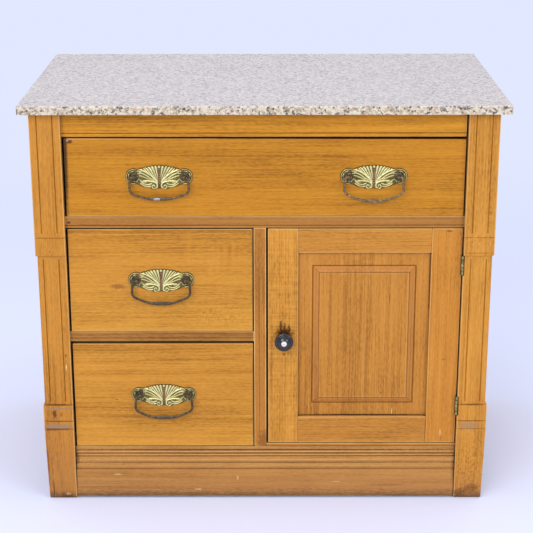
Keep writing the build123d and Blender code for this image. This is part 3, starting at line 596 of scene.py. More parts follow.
HINGE_SEAMS = 5
# Black-brown for soiling and painted shade in a hinge's seams and hollows.
SEAM_DIRT_AND_SHADE = srgb(40, 34, 22)


def old_brass(name, low, high):
    """Dull brass with grey-green tarnish, and black soiling and painted shade between the knuckles
    of a hinge and in its hollows.
    """
    g = Graph(name)
    mottle = g.noise(g.stretch(g.place, (300, 300, 120)), detail=3)
    fine = g.speckle(900, 2)
    level = g.blend_add((mottle, 0.8), (fine, 0.3))
    colour = g.ramp(
        level,
        (0.36, srgb(66, 60, 34)),
        (0.52, srgb(134, 128, 82)),
        (0.68, srgb(196, 188, 134)),
    )
    # Soiling and painted shade: dark lines at the seams between the knuckles, where the gaps fall
    # in shade.
    share = g.math("DIVIDE", g.math("SUBTRACT", g.z, low.z), (high.z - low.z) / HINGE_SEAMS)
    away = g.math("ABSOLUTE", g.math("SUBTRACT", g.math("FRACT", g.math("ADD", share, 0.5)), 0.5))
    colour = g.cover(g.band(away, 0.13, 0.05), 0.8, colour, SEAM_DIRT_AND_SHADE)
    # Soiling and painted shade down in hollows and where the hinge meets other parts.
    hollow = g.band(g.recess(0.002), 0.9, 0.3)
    colour = g.cover(hollow, 0.8, colour, SEAM_DIRT_AND_SHADE)
    rough = g.math("MULTIPLY_ADD", fine, 0.25, 0.32)
    return g.finish(colour, rough, 0.7, (fine, 0.0001, 0.4))


def knob_black():
    """Glossy black glazed knob."""
    g = Graph("knob_black")
    dust = g.speckle(500, 3, 0.65)
    colour = g.ramp(dust, (0.3, srgb(7, 7, 8)), (0.62, srgb(16, 16, 17)), (0.8, srgb(52, 50, 50)))
    g.put("Specular IOR Level", 0.5)
    g.put("Coat Weight", 0.4)
    g.put("Coat Roughness", 0.03)
    return g.finish(colour, g.math("MULTIPLY_ADD", dust, 0.10, 0.03))


def eye_white():
    """White glazed eye with a small grey middle."""
    g = Graph("knob_eye_white")
    from_middle = g.length(
        g.stretch(g.place, (1, 0, 1), (-middle("knob_eye").x, 0, -middle("knob_eye").z))
    )
    dust = g.speckle(700, 3)
    colour = g.ramp(dust, (0.35, srgb(214, 214, 218)), (0.6, srgb(244, 244, 246)))
    dot = g.band(from_middle, 0.0013, 0.0006)
    colour = g.cover(dot, 0.6, colour, srgb(120, 120, 126))
    rim = g.band(from_middle, 0.0041, 0.0049)
    colour = g.cover(rim, 0.6, colour, srgb(110, 106, 104))
    return g.finish(colour, g.math("MULTIPLY_ADD", dust, 0.12, 0.08))


def steel():
    """Grey oiled steel for the knob's spindle and tongue."""
    g = Graph("spindle_steel")
    mottle = g.speckle(240, 4, 0.6)
    colour = g.ramp(
        mottle, (0.35, srgb(66, 60, 56)), (0.55, srgb(112, 110, 108)), (0.7, srgb(122, 84, 60))
    )
    rough = g.math("MULTIPLY_ADD", mottle, 0.3, 0.26)
    return g.finish(colour, rough, 0.85, (mottle, 0.0003, 0.4))


# Boards: the way the grain runs, the tint, the marks that the years have left, and painted light:
# highlight lines, shade in gaps and grooves, posts paler towards the top and drawers darker there

GOLD = srgb(197, 134, 34)
BRIGHT_GOLD = srgb(206, 145, 54)
PALE_GOLD = srgb(214, 151, 62)
PANEL_GOLD = srgb(199, 137, 58)
RAIL_BROWN = srgb(174, 120, 56)
STILE_BROWN = srgb(190, 128, 54)
BASE_BROWN = srgb(189, 136, 72)
SIDE_GOLD = srgb(196, 136, 66)
INNER = srgb(176, 138, 92)

DARK_BROWN = srgb(70, 38, 18)
# Black for painted shade in gaps, joints and grooves.
PAINTED_SHADE_BLACK = srgb(30, 22, 12)
KNOT_BROWN = srgb(128, 76, 30)
# Painted highlight: a white glint on a chip.
CHIP_GLINT = srgb(232, 214, 206)
CHIP_RED = srgb(96, 44, 30)
GREY_WORN = srgb(150, 128, 112)
PALE_CHIP = srgb(244, 214, 160)


def mm(*values):
    """Millimetres as metres."""
    return tuple(value * MM for value in values)


def mark(colour, share, centre, half, ragged=0.5):
    """One stain, knot, scratch, painted highlight or painted shade line on a front, in millimetres.
    """
    return (colour, share, mm(*centre), mm(*half), ragged)


FIELD_MARGIN = 24.5
FIELD_BEVEL = 10.0
OPENING_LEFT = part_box("door_stile_left")[1].x / MM
OPENING_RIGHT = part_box("door_stile_right")[0].x / MM
OPENING_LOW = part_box("door_bottom_rail")[1].z / MM
OPENING_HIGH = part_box("door_top_rail")[0].z / MM
PANEL_BORDER = (
    mm(OPENING_LEFT + FIELD_MARGIN, OPENING_LOW + FIELD_MARGIN),
    mm(OPENING_RIGHT - FIELD_MARGIN, OPENING_HIGH - FIELD_MARGIN),
    FIELD_BEVEL * MM,
)

# Each spot is what mark takes; each figure is as wood takes it
BOARDS = {
    "frieze_rail": dict(grain="x", tint=srgb(209, 145, 40)),
    "long_drawer_front": dict(
        grain="x", tint=GOLD,
        spots=(
            (CHIP_RED, 0.9, (-309.5, 623.0), (7.5, 4.2), 0.3),
            # Painted highlight: a white glint on the reddish chip.
            (CHIP_GLINT, 0.9, (-312.5, 624.5), (2.6, 1.5), 0.3),
            (KNOT_BROWN, 0.35, (-270, 509), (15, 2.6)),
            (KNOT_BROWN, 0.5, (56, 571), (5, 1.6)),
            (KNOT_BROWN, 0.35, (-20, 577), (70, 2.2), 0.7),
        ),
    ),
    "drawer_rail_upper": dict(
        grain="x", tint=RAIL_BROWN,
        spots=((DARK_BROWN, 0.8, (-315, 490), (4.5, 2.6)),),
    ),
    "upper_drawer_front": dict(
        # Painted shade: darker towards the top, under the shadow of the ledge above.
        grain="x", tint=BRIGHT_GOLD, painted_light_slope=-3.3,
        figures=(
            (0.8, 300.0, 170.0, mm(-78, 328), mm(62, 26)),
            (0.5, 130.0, 9.0, mm(-80, 435), mm(75, 45)),
        ),
        spots=(
            (KNOT_BROWN, 0.6, (-240, 381), (17, 5.5), 0.6),
            (KNOT_BROWN, 0.3, (-110, 383), (60, 2.0), 0.8),
        ),
    ),
    "drawer_rail_lower": dict(grain="x", tint=RAIL_BROWN),
    "lower_drawer_front": dict(
        # Painted shade: a little darker towards the top.
        grain="x", tint=BRIGHT_GOLD, painted_light_slope=-1.2,
        spots=(
            (KNOT_BROWN, 0.65, (-248, 181), (4.5, 1.5)),
            (KNOT_BROWN, 0.3, (-225, 195), (3, 2.5)),
        ),
    ),
    "centre_stile": dict(
        grain="z", tint=STILE_BROWN, wear=0.9,
        spots=(
            (KNOT_BROWN, 0.6, (0, 106), (14, 22), 0.7),
            (DARK_BROWN, 0.4, (-9.5, 290), (1.6, 260), 0.4),
            (KNOT_BROWN, 0.5, (8, 290), (2.2, 260), 0.6),
            (KNOT_BROWN, 0.4, (-2, 380), (3.0, 60), 0.6),
        ),
    ),
    "base_board": dict(
        grain="x", tint=BASE_BROWN, foot=0.10, dirt_and_shade=0.9,
        spots=(
            # Painted highlights along the crests of the base board's reeds.
            (PALE_WEAR_AND_HIGHLIGHT, 0.30, (0, 86.0), (500, 1.3), 0.7),
            (PALE_WEAR_AND_HIGHLIGHT, 0.30, (0, 80.3), (500, 1.3), 0.7),
            (PALE_WEAR_AND_HIGHLIGHT, 0.28, (0, 71.5), (500, 2.2), 0.8),
            (PALE_WEAR_AND_HIGHLIGHT, 0.22, (0, 60.0), (500, 2.2), 0.8),
            # Painted shade: dark lines under the cupboard floor's lip and in the grooves and steps
            # of the base board's moulding.
            (PAINTED_SHADE_BLACK, 0.70, (0, 95.5), (500, 1.2), 0.3),
            (PAINTED_SHADE_BLACK, 0.75, (0, 88.7), (500, 1.5), 0.4),
            (DARK_BROWN, 0.45, (0, 83.1), (500, 0.9), 0.4),
            (DARK_BROWN, 0.60, (0, 65.9), (500, 1.3), 0.5),
            (DARK_BROWN, 0.35, (0, 54.0), (500, 1.0), 0.5),
            (DARK_BROWN, 0.65, (-323, 76), (10, 22), 0.8),
            (DARK_BROWN, 0.45, (322, 60), (8, 36), 0.8),
            (PALE_CHIP, 0.45, (-250, 44), (9, 1.6), 0.9),
            (PALE_CHIP, 0.5, (-114, 16), (7, 1.8), 0.9),
            (PALE_CHIP, 0.4, (-47, 38), (2.0, 5), 0.9),
            (PALE_CHIP, 0.35, (120, 30), (10, 1.2), 0.9),
            (KNOT_BROWN, 0.35, (205, 24), (40, 3), 0.8),
        ),
    ),
    "door_stile_left": dict(
        grain="z", tint=PALE_GOLD,
        figures=((0.55, 330.0, 16.0, mm(30, 300), mm(60, 260)),),
        spots=(
            (KNOT_BROWN, 0.75, (31.6, 296), (20, 19), 0.5),
            (DARK_BROWN, 0.95, (31.6, 299), (15, 9.5), 0.6),
            (DARK_BROWN, 0.85, (26.0, 311), (3.2, 14), 0.5),
            (DARK_BROWN, 0.75, (32.5, 309), (2.4, 11), 0.5),
            (DARK_BROWN, 0.75, (39.5, 306), (2.6, 12), 0.5),
            (KNOT_BROWN, 0.7, (31.5, 262), (3.2, 3.2)),
            (KNOT_BROWN, 0.4, (20, 424), (1.4, 4)),
        ),
    ),
    "door_stile_right": dict(
        grain="z", tint=srgb(203, 137, 54),
        spots=(
            (DARK_BROWN, 0.6, (298, 475), (7, 2.0)),
            (KNOT_BROWN, 0.6, (296, 253), (5, 1.4)),
            (PALE_CHIP, 0.5, (295, 121), (1.4, 9), 0.6),
            (KNOT_BROWN, 0.7, (321, 452), (5.0, 30), 0.6),
        ),
    ),
    "door_top_rail": dict(grain="x", tint=srgb(202, 140, 58)),
    "door_bottom_rail": dict(
        grain="x", tint=PANEL_GOLD,
        # Painted shade: a black line in the joint gap where the rail meets the right stile.
        spots=((PAINTED_SHADE_BLACK, 0.95, (OPENING_RIGHT, OPENING_LOW - 24), (1.3, 30), 0.15),),
    ),
    "door_panel": dict(
        grain="z", tint=PANEL_GOLD,
        figures=((0.5, 220.0, 40.0, mm(160, 420), mm(60, 40)),),
        border=PANEL_BORDER,
        spots=(
            (KNOT_BROWN, 0.30, (107, 300), (4.5, 130), 0.7),
            (KNOT_BROWN, 0.34, (131, 330), (4.0, 90), 0.7),
            (KNOT_BROWN, 0.28, (168, 240), (4.0, 120), 0.7),
            (KNOT_BROWN, 0.8, (204, 359), (1.0, 13), 0.4),
            (KNOT_BROWN, 0.7, (194, 192), (2.0, 2.2)),
            (PALE_CHIP, 0.8, (213, 156), (0.8, 9), 0.4),
            (srgb(92, 84, 40), 0.55, (160, 142), (120, 4.0), 0.7),
            (srgb(92, 84, 40), 0.5, (277, 290), (3.0, 160), 0.7),
            # Painted shadow: black lines along the bottom of the panel's opening and down its right
            # edge, where the stile shades it.
            (PAINTED_SHADE_BLACK, 0.9, (165, OPENING_LOW + 0.6), (150, 2.2), 0.35),
            (PAINTED_SHADE_BLACK, 0.7, (OPENING_RIGHT - 0.6, OPENING_HIGH - 50), (2.0, 85), 0.4),
        ),
        dirt_and_shade=0.5,
    ),
    "front_post_left": dict(
        # Painted light: paler towards the top; at the foot darker and pinker, partly wear and
        # partly painted shade.
        grain="z", tint=srgb(201, 138, 54), foot=0.22, painted_light_slope=0.55, dirt_and_shade=0.35,
        spots=(
            (KNOT_BROWN, 0.85, (-347, 443), (1.5, 1.5), 0.2),
            (CHIP_RED, 0.85, (-352, 158), (4.6, 9), 0.7),
            (KNOT_BROWN, 0.6, (-341, 157), (2.5, 5), 0.7),
            (DARK_BROWN, 0.65, (-346, 174), (28, 1.3), 0.3),
            (DARK_BROWN, 0.6, (-346, 144.5), (28, 0.9), 0.3),
            (DARK_BROWN, 0.6, (-346, 130), (34, 2.6), 0.9),
            (GREY_WORN, 0.75, (-344, 168), (34, 2.0), 0.7),
            (GREY_WORN, 0.8, (-348, 135), (34, 5.0), 0.7),
            (PALE_CHIP, 0.95, (-329.5, 241), (1.1, 6), 0.3),
            (KNOT_BROWN, 0.7, (-329.5, 262), (2.5, 3.5), 0.5),
            (DARK_BROWN, 0.85, (-360, 19), (1.2, 19), 0.5),
            (CHIP_RED, 0.35, (-368, 60), (3.0, 60), 0.6),
            (DARK_BROWN, 0.45, (-338, 6), (14, 8), 0.8),
            (PALE_CHIP, 0.35, (-336, 9), (7, 3), 0.9),
        ),
    ),
    "front_post_right": dict(
        # Painted light: a little paler towards the top.
        grain="z", tint=srgb(208, 146, 60), foot=0.10, painted_light_slope=0.2, dirt_and_shade=0.2,
        figures=(
            (1.0, 190.0, 90.0, mm(360, 512), mm(9, 48)),
            (0.9, 230.0, 200.0, mm(346, 462), mm(34, 26)),
            (0.9, 240.0, 240.0, mm(346, 66), mm(34, 80)),
        ),
        spots=(
            (KNOT_BROWN, 0.4, (346, 440), (34, 1.6), 0.5),
            (DARK_BROWN, 0.5, (330, 10), (10, 10), 0.8),
            (KNOT_BROWN, 0.5, (352, 22), (16, 6), 0.9),
            (GREY_WORN, 0.55, (342, 136), (22, 8), 0.5),
            (DARK_BROWN, 0.55, (346, 174), (28, 1.3), 0.3),
            (DARK_BROWN, 0.5, (346, 144.5), (28, 0.9), 0.3),
            (DARK_BROWN, 0.35, (346, 16), (20, 9), 0.7),
        ),
    ),
}


def painted_gap_shade(node, left_width, right_width):
    """Painted shade: black lines in the gaps at the two ends and along the lower edge of a board's
    front.
    """
    low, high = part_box(node)
    middle_x, middle_z = (low.x + high.x) / 2 / MM, (low.z + high.z) / 2 / MM
    half_x, half_z = (high.x - low.x) / MM, (high.z - low.z) / MM
    return (
        (PAINTED_SHADE_BLACK, 0.85, (low.x / MM, high.z / MM), (left_width, 1.35 * half_z), 0.15),
        (PAINTED_SHADE_BLACK, 0.75, (high.x / MM, middle_z), (right_width, half_z), 0.2),
        (PAINTED_SHADE_BLACK, 0.55, (middle_x, low.z / MM), (half_x, 0.9), 0.3),
    )


# Painted shade in the gaps round the drawer fronts and the base board, wider where a gap is wider.
for name, left_width, right_width in (
    ("long_drawer_front", 7.5, 1.6),
    ("upper_drawer_front", 1.4, 2.4),
    ("lower_drawer_front", 1.4, 2.2),
    ("base_board", 2.6, 2.6),
):
    BOARDS[name]["spots"] += painted_gap_shade(name, left_width, right_width)

# The boards' order picks the place of each in the tree, so it stays as it is.
for side in ("left", "right"):
    BOARDS[f"rear_post_{side}"] = dict(grain="z", tint=SIDE_GOLD, foot=0.16)
for name in ("back_boards", "back_bottom_rail", "back_top_rail"):
    BOARDS[name] = dict(grain="x", tint=INNER, wear=0.2)
BOARDS["cupboard_floor"] = dict(grain="x", tint=STILE_BROWN)
BOARDS["partition"] = dict(grain="z", tint=INNER, wear=0.2)
for name in ("drawer_stops", "long_drawer_runners", "small_drawer_runners"):
    BOARDS[name] = dict(grain="y", tint=INNER, wear=0.2)
for side in ("left", "right"):
    BOARDS[f"side_top_rail_{side}"] = dict(grain="y", tint=SIDE_GOLD)
    BOARDS[f"side_bottom_rail_{side}"] = dict(grain="y", tint=SIDE_GOLD, foot=0.16)
    BOARDS[f"side_panel_{side}"] = dict(grain="zy", tint=SIDE_GOLD)
for drawer in ("long_drawer", "upper_drawer", "lower_drawer"):
    for side in ("left", "right"):
        BOARDS[f"{drawer}_side_{side}"] = dict(grain="y", tint=INNER, wear=0.3)
    BOARDS[f"{drawer}_back"] = dict(grain="x", tint=INNER, wear=0.3)
    BOARDS[f"{drawer}_bottom"] = dict(grain="x", tint=INNER, wear=0.2)

ARRIS = 0.9 * MM
WELD = 0.005 * MM
STONE_ARRIS = 2.2 * MM
ARRIS_SEGMENTS = 3
ARRIS_ANGLE = 40


def dress(node, material, arris=ARRIS):
    """Gives a CAD node its finish and softens its edges."""
    for slot in node.material_slots:
        slot.material = material
    if arris:
        weld = node.modifiers.new("weld", "WELD")
        weld.merge_threshold = WELD
        bevel = node.modifiers.new("arris", "BEVEL")
        bevel.width = arris
        bevel.segments = ARRIS_SEGMENTS
        bevel.limit_method = "ANGLE"
        bevel.angle_limit = radians(ARRIS_ANGLE)
        bevel.harden_normals = True


# Drawer pulls, in millimetres in a frame of their own: x right, y up, z out from the drawer

POST_OFFSET = 39.7
PIVOT_OUT = 9.5
EYE_RADIUS = 3.5
BAIL_WIRE_RADIUS = 2.1

OVAL_HALF = (45.0, 18.0)
OVAL_DROP = 2.1
SHOULDER_PLACE = (30.0, 4.6)
SHOULDER_RADIUS = 8.0
LOBE_OFFSET = 40.7
LOBE_RADIUS = 12.9
RIB_COUNT = 11
RIB_TIP_REACH = 27.5
RIB_TIP_RISE = 15.4
RIB_TIP_SAG = 4.4
SCALLOP_RADIUS = 3.2
SCROLL_PLACE = (10.0, -14.6)
SCROLL_RADIUS = 7.0
LEAF_PLACE = (24.0, -11.0)
LEAF_RADIUS = 6.6
FAN_FOOT = -15.0

PLATE_STEP = 0.32
PLATE_RINGS = 46
PLATE_EDGE = 1.1
PLATE_SKIN = 1.5
PLATE_RELIEF = 1.5

# Ridges of the right half, as (points, half width, height); the left half mirrors them
PLATE_RIDGES = (
    (
        (
            (6.4, -20.2), (3.9, -17.5), (3.6, -13.0), (6.2, -9.6),
            (11.5, -8.0), (18.0, -7.2), (25.0, -7.4),
        ),
        1.15, 1.0,
    ),
    (
        ((6.4, -20.2), (9.4, -20.0), (11.6, -17.6), (10.6, -14.6), (7.9, -14.4), (7.4, -16.6)),
        0.9, 0.85,
    ),
    (((3.2, -10.0), (7.0, -3.6), (13.5, 2.2), (21.0, 7.2), (28.5, 10.4)), 1.2, 1.0),
    (((8.5, -6.6), (14.0, -3.2), (20.5, 1.8), (27.5, 5.2), (31.0, 6.0)), 1.0, 0.8),
    (((14.5, -5.2), (21.0, -2.4), (27.5, 0.4), (31.5, 1.2)), 0.9, 0.75),
    (((12.6, -11.8), (17.5, -13.6), (23.5, -12.6), (29.0, -8.4)), 1.0, 0.85),
    (((13.8, -16.4), (18.5, -17.0), (24.5, -15.2), (29.8, -11.6)), 0.9, 0.85),
    (((21.0, -9.8), (26.0, -8.6), (31.0, -5.6)), 0.8, 0.7),
    (((27.5, 11.6), (31.0, 10.9), (34.5, 11.0), (38.0, 11.6)), 0.9, 0.95),
    (((28.0, 8.6), (31.5, 8.0), (34.6, 8.4)), 0.7, 0.8),
    (((30.6, 4.2), (32.6, 4.8), (34.4, 4.6)), 0.7, 0.75),
    (((32.2, -4.2), (34.6, -6.4), (36.4, -9.2)), 0.7, 0.8),
)
RIDGE_SPREAD = 1.3
LOBE_RIM = 11.5
LOBE_GROOVE = 10.2
LOBE_LEAF = 8.6
SLIT_HALF_WIDTH = 2.1
SLIT_ENDS = (-11.5, 13.5)
BEAD_PITCH = 3.6

BAIL_ENDS = (36.2, 45.6)
BAIL_CORNER = (48.0, -26.0)
BAIL_DROP = 38.2
BAIL_BELLY_END = 19.5
BAIL_BENDS = (3.5, 11.0, 60.0)
BAIL_WIRE = 2.0
BAIL_MIDDLE = 3.3
BAIL_MIDDLE_SPAN = 26.0
BENT_BAIL_DROP = 34.6
BAIL_SIDES = 20
POST_SIDES = 48
POST_PETALS = 6
PETAL_DEPTH = 0.13


def rib_tips():
    """Tips of the fan's ribs, on the arch that makes the plate's scalloped top."""
    for rib in range(RIB_COUNT):
        share = 2 * rib / (RIB_COUNT - 1) - 1
        yield share * RIB_TIP_REACH, RIB_TIP_RISE - RIB_TIP_SAG * share * share


def circle_at(x, centre_x, centre_y, radius, side):
    """The top (side 1) or bottom (side -1) of a circle at x, or None beside it."""
    inside = radius * radius - (x - centre_x) ** 2
    return centre_y + side * inside**0.5 if inside >= 0 else None


def plate_edge(x, side):
    """Height of the plate's top or bottom edge at x."""
    half_x, half_y = OVAL_HALF
    heights = [-OVAL_DROP + side * half_y * (1 - (x / half_x) ** 2) ** 0.5]
    circles = [((LOBE_OFFSET, 0), LOBE_RADIUS), (SHOULDER_PLACE, SHOULDER_RADIUS)]
    if side < 0:
        circles += [(SCROLL_PLACE, SCROLL_RADIUS), (LEAF_PLACE, LEAF_RADIUS)]
    for (place_x, place_y), radius in circles:
        heights += [circle_at(x, mirror * place_x, place_y, radius, side) for mirror in (-1, 1)]
    if side > 0:
        heights += [circle_at(x, tip_x, tip_y, SCALLOP_RADIUS, side) for tip_x, tip_y in rib_tips()]
    heights = [h for h in heights if h is not None]
    return max(heights) if side > 0 else min(heights)


def plate_outline():
    """Pairs of a point on the plate's edge and the point inside it that faces it."""
    count = round(2 * LOBE_OFFSET / PLATE_STEP)
    xs = [LOBE_OFFSET * (2 * i / count - 1) for i in range(count + 1)]
    turns = round(pi * LOBE_RADIUS / PLATE_STEP)
    pairs = []
    for side, line in ((1, xs), (-1, xs[::-1])):
        pairs += [((x, plate_edge(x, side)), (x, 0)) for x in line]
        for i in range(1, turns):
            turn = side * pi / 2 - pi * i / turns
            edge = (side * LOBE_OFFSET + LOBE_RADIUS * cos(turn), LOBE_RADIUS * sin(turn))
            pairs.append((edge, (side * LOBE_OFFSET, 0)))
    return pairs


def smooth_line(points, steps=10):
    """Points along a smooth curve through the given ones."""
    padded = [points[0], *points, points[-1]]
    line = []
    for i in range(1, len(padded) - 2):
        a, b, c, d = (np.array(p, float) for p in padded[i - 1 : i + 3])
        for step in range(steps):
            t = step / steps
            square, cube = 2 * a - 5 * b + 4 * c - d, 3 * b - a - 3 * c + d
            line.append(0.5 * (2 * b + (c - a) * t + square * t**2 + cube * t**3))
    line.append(np.array(points[-1], float))
    return line


def from_line(x, y, line):
    """Distance of each place to a line of points."""
    nearest = np.full_like(x, 1e3)
    for (ax, ay), (bx, by) in zip(line, line[1:]):
        run_x, run_y = bx - ax, by - ay
        size = max(run_x**2 + run_y**2, 1e-9)
        share = np.clip(((x - ax) * run_x + (y - ay) * run_y) / size, 0, 1)
        nearest = np.minimum(nearest, np.hypot(x - ax - share * run_x, y - ay - share * run_y))
    return nearest


def smooth_step(value, low, high):
    share = np.clip((value - low) / (high - low), 0, 1)
    return share * share * (3 - 2 * share)


def plate_relief(x, y):
    """Relief from 0, down in the pattern, to 1 on its ridges."""
    across = np.abs(x)
    relief = 0.24 + np.zeros_like(x)
    # Ribs of the fan: each runs from the foot and bends outwards to its own tip.
    rise = np.clip((y - FAN_FOOT) / (RIB_TIP_RISE - FAN_FOOT), 0.02, 1.3)
    spread = 0.10 + 0.90 * rise**1.35
    rib_place = x / spread / (2 * RIB_TIP_REACH / (RIB_COUNT - 1))
    wave = 0.5 + 0.5 * np.cos(2 * pi * rib_place)
    fan = smooth_step(RIB_TIP_REACH * 1.08 - np.abs(x / spread), 0, 2.2)
    fan = fan * smooth_step(y, -13.0, -8.0)
    relief = np.maximum(relief, fan * (0.22 + 0.78 * wave**0.8))
    # The leaves and scrolls at each side
    for points, width, height in PLATE_RIDGES:
        away = from_line(across, y, smooth_line(points))
        relief = np.maximum(relief, height * np.exp(-((away / (RIDGE_SPREAD * width)) ** 2)))
    # Lobes: a raised rim, short rays inside it and a dark dish round the post
    lobe_x, lobe_y = across - LOBE_OFFSET, y
    radius = np.hypot(lobe_x, lobe_y)
    turn = np.degrees(np.arctan2(lobe_y, lobe_x))
    outer = smooth_step(across, 36.0, 40.5)
    rim = np.exp(-(((radius - LOBE_RIM) / 1.0) ** 2)) * outer
    relief = np.maximum(relief, rim)
    leaf = np.exp(-(((radius - LOBE_LEAF) / 1.0) ** 2)) * outer
    leaf = leaf * (0.6 + 0.4 * np.sin(np.radians(turn) * 6))
    relief = np.maximum(relief, 0.9 * leaf)
    groove = np.exp(-(((radius - LOBE_GROOVE) / 0.7) ** 2)) * outer
    relief = relief * (1 - 0.75 * groove)
    dish = smooth_step(radius, 7.2, 5.4)
    relief = relief * (1 - 0.85 * dish)
    # The slit in the middle, with a row of small beads
    low, high = SLIT_ENDS
    slit = smooth_step(SLIT_HALF_WIDTH + 0.35 - across, 0, 0.7)
    slit = slit * smooth_step(y, low - 1, low) * smooth_step(-y, -high - 1, -high)
    bead = np.exp(-((across / 0.8) ** 2)) * (0.5 + 0.5 * np.cos(2 * pi * y / BEAD_PITCH)) ** 2
    return relief * (1 - slit) + slit * (0.12 + 0.5 * bead), slit


def plate_mesh():
    """One stamped plate: rings of points from its edge to its middle line, and a flat back."""
    pairs = plate_outline()
    edge = np.array([p[0] for p in pairs])
    inner = np.array([p[1] for p in pairs])
    rows = []
    for ring in range(PLATE_RINGS + 1):
        share = 1 - (ring / PLATE_RINGS) ** 1.15
        rows.append(inner + (edge - inner) * share)
    places = np.array(rows)
    x, y = places[..., 0], places[..., 1]
    relief, slit = plate_relief(x, y)
    inset = np.hypot(*(places - edge[None]).transpose(2, 0, 1))
    rise = np.sqrt(np.clip(1 - (1 - np.clip(inset / PLATE_EDGE, 0, 1)) ** 2, 0, 1))
    dome = 0.4 * smooth_step(inset, 0, 10)
    z = rise * (PLATE_SKIN + PLATE_RELIEF * relief * smooth_step(inset, 0.2, 1.2) + dome - 0.4)
    count = len(pairs)
    points = [(x[r, i], y[r, i], z[r, i]) for r in range(PLATE_RINGS + 1) for i in range(count)]
    back = len(points)
    points += [(x[PLATE_RINGS, i], y[PLATE_RINGS, i], 0) for i in range(count)]
    faces = []
    for r in range(PLATE_RINGS):
        for i in range(count):
            j = (i + 1) % count
            faces.append((r * count + j, r * count + i, (r + 1) * count + i, (r + 1) * count + j))
    for i in range(count):
        j = (i + 1) % count
        faces.append((i, j, back + j, back + i))
    ridge = np.concatenate([(relief * smooth_step(inset, 0.1, 1.5)).ravel(), np.zeros(count)])
    in_slit = np.concatenate([slit.ravel(), np.zeros(count)])
    return points, faces, {"ridge": ridge, "slit": in_slit}


def rounded_path(points, bends, step=0.8):
    """Points along straight runs joined by round bends, in a plane."""
    path = [np.array(points[0], float)]
    for before, corner, after, bend in zip(points, points[1:], points[2:], bends):
        a, b, c = (np.array(p, float) for p in (before, corner, after))
        back, ahead = (a - b) / np.linalg.norm(a - b), (c - b) / np.linalg.norm(c - b)
        half = np.arccos(np.clip(back @ ahead, -1, 1)) / 2
        reach = min(bend / np.tan(half), 0.97 * np.linalg.norm(c - b), 0.97 * np.linalg.norm(a - b))
        radius = reach * np.tan(half)
        centre = b + (back + ahead) / np.linalg.norm(back + ahead) * radius / np.sin(half)
        first, last = b + back * reach - centre, b + ahead * reach - centre
        total = pi - 2 * half
        count = max(3, round(radius * total / step))
        for i in range(count + 1):
            share = i / count
            arc = np.sin((1 - share) * total) * first + np.sin(share * total) * last
            path.append(centre + arc / np.sin(total))
    path.append(np.array(points[-1], float))
    dense = []
    for a, b in zip(path, path[1:]):
        parts = max(1, round(np.linalg.norm(b - a) / step))
        dense += [a + (b - a) * i / parts for i in range(parts)]
    return dense + [path[-1]]


def bail_mesh(drop):
    """One bail: a bent wire that swells into an engraved grip at its middle."""
    half = rounded_path(
        [(BAIL_ENDS[0], 0), (BAIL_ENDS[1], 0), BAIL_CORNER, (BAIL_BELLY_END, -drop), (0, -drop)],
        BAIL_BENDS,
    )
    path = half + [np.array((-p[0], p[1])) for p in reversed(half[:-1])]
    points, rims = [], []
    for i, place in enumerate(path):
        ahead = path[min(i + 1, len(path) - 1)] - path[max(i - 1, 0)]
        ahead = ahead / np.linalg.norm(ahead)
        side = np.array((-ahead[1], ahead[0]))
        low = place[1] < BAIL_CORNER[1] + 1
        share = float(np.clip(1 - abs(place[0]) / BAIL_MIDDLE_SPAN, 0, 1)) if low else 0.0
        swell = share * share * (3 - 2 * share)
        wide = BAIL_WIRE + (BAIL_MIDDLE - BAIL_WIRE) * swell
        wide += 0.16 * swell * cos(2 * pi * place[0] / 2.6)
        for step in range(BAIL_SIDES):
            turn = 2 * pi * step / BAIL_SIDES
            groove = 1 - 0.07 * swell * cos(6 * turn)
            offset = side * wide * cos(turn) * groove
            out = PIVOT_OUT + BAIL_WIRE * sin(turn) * groove
            points.append((place[0] + offset[0], place[1] + offset[1], out))
        rims.append(range(i * BAIL_SIDES, (i + 1) * BAIL_SIDES))
    faces = []
    for first, second in zip(rims, rims[1:]):
        for i in range(BAIL_SIDES):
            j = (i + 1) % BAIL_SIDES
            faces.append((first[i], first[j], second[j], second[i]))
    faces.append(tuple(reversed(rims[0])))
    faces.append(tuple(rims[-1]))
    return points, faces


def turned(profile, sides, petals=0, petal_depth=0.0):
    """A turned form about z, from (radius, height, petal share) rows, closed at both ends."""
    points, faces = [], []
    for radius, height, share in profile:
        for i in range(sides):
            turn = 2 * pi * i / sides
            reach = radius * (1 + share * petal_depth * cos(petals * turn))
            points.append((reach * cos(turn), reach * sin(turn), height))
    for row in range(len(profile) - 1):
        for i in range(sides):
            j = (i + 1) % sides
            first, second = row * sides, (row + 1) * sides
            faces.append((first + i, first + j, second + j, second + i))
    faces.append(tuple(range(sides - 1, -1, -1)))
    last = (len(profile) - 1) * sides
    faces.append(tuple(last + i for i in range(sides)))
    return points, faces


def post_mesh():
    """A post: a six-petalled rosette, a neck, and a ball that the bail's end passes into."""
    profile = [
        (6.4, 0.9, 1.0), (6.6, 1.8, 1.0), (6.1, 2.7, 1.0), (4.9, 3.3, 1.0), (3.9, 3.0, 0.6),
        (3.4, 3.5, 0.0), (3.2, 4.3, 0.0), (2.5, 4.9, 0.0), (2.4, 5.9, 0.0),
    ]
    for step in range(1, 12):
        turn = -pi / 2 + 0.72 + (pi - 0.76) * step / 12
        profile.append((EYE_RADIUS * cos(turn), PIVOT_OUT + EYE_RADIUS * sin(turn), 0.0))
    profile.append((0.3, PIVOT_OUT + EYE_RADIUS, 0.0))
    return turned(profile, POST_SIDES, petals=POST_PETALS, petal_depth=PETAL_DEPTH)


def seated(points, pull_x, pivot_z, face_y):
    """Points of the pulls' frame, in millimetres, put on a drawer's face in metres."""
    return [(pull_x + p[0] * MM, face_y - p[2] * MM, pivot_z + p[1] * MM) for p in points]


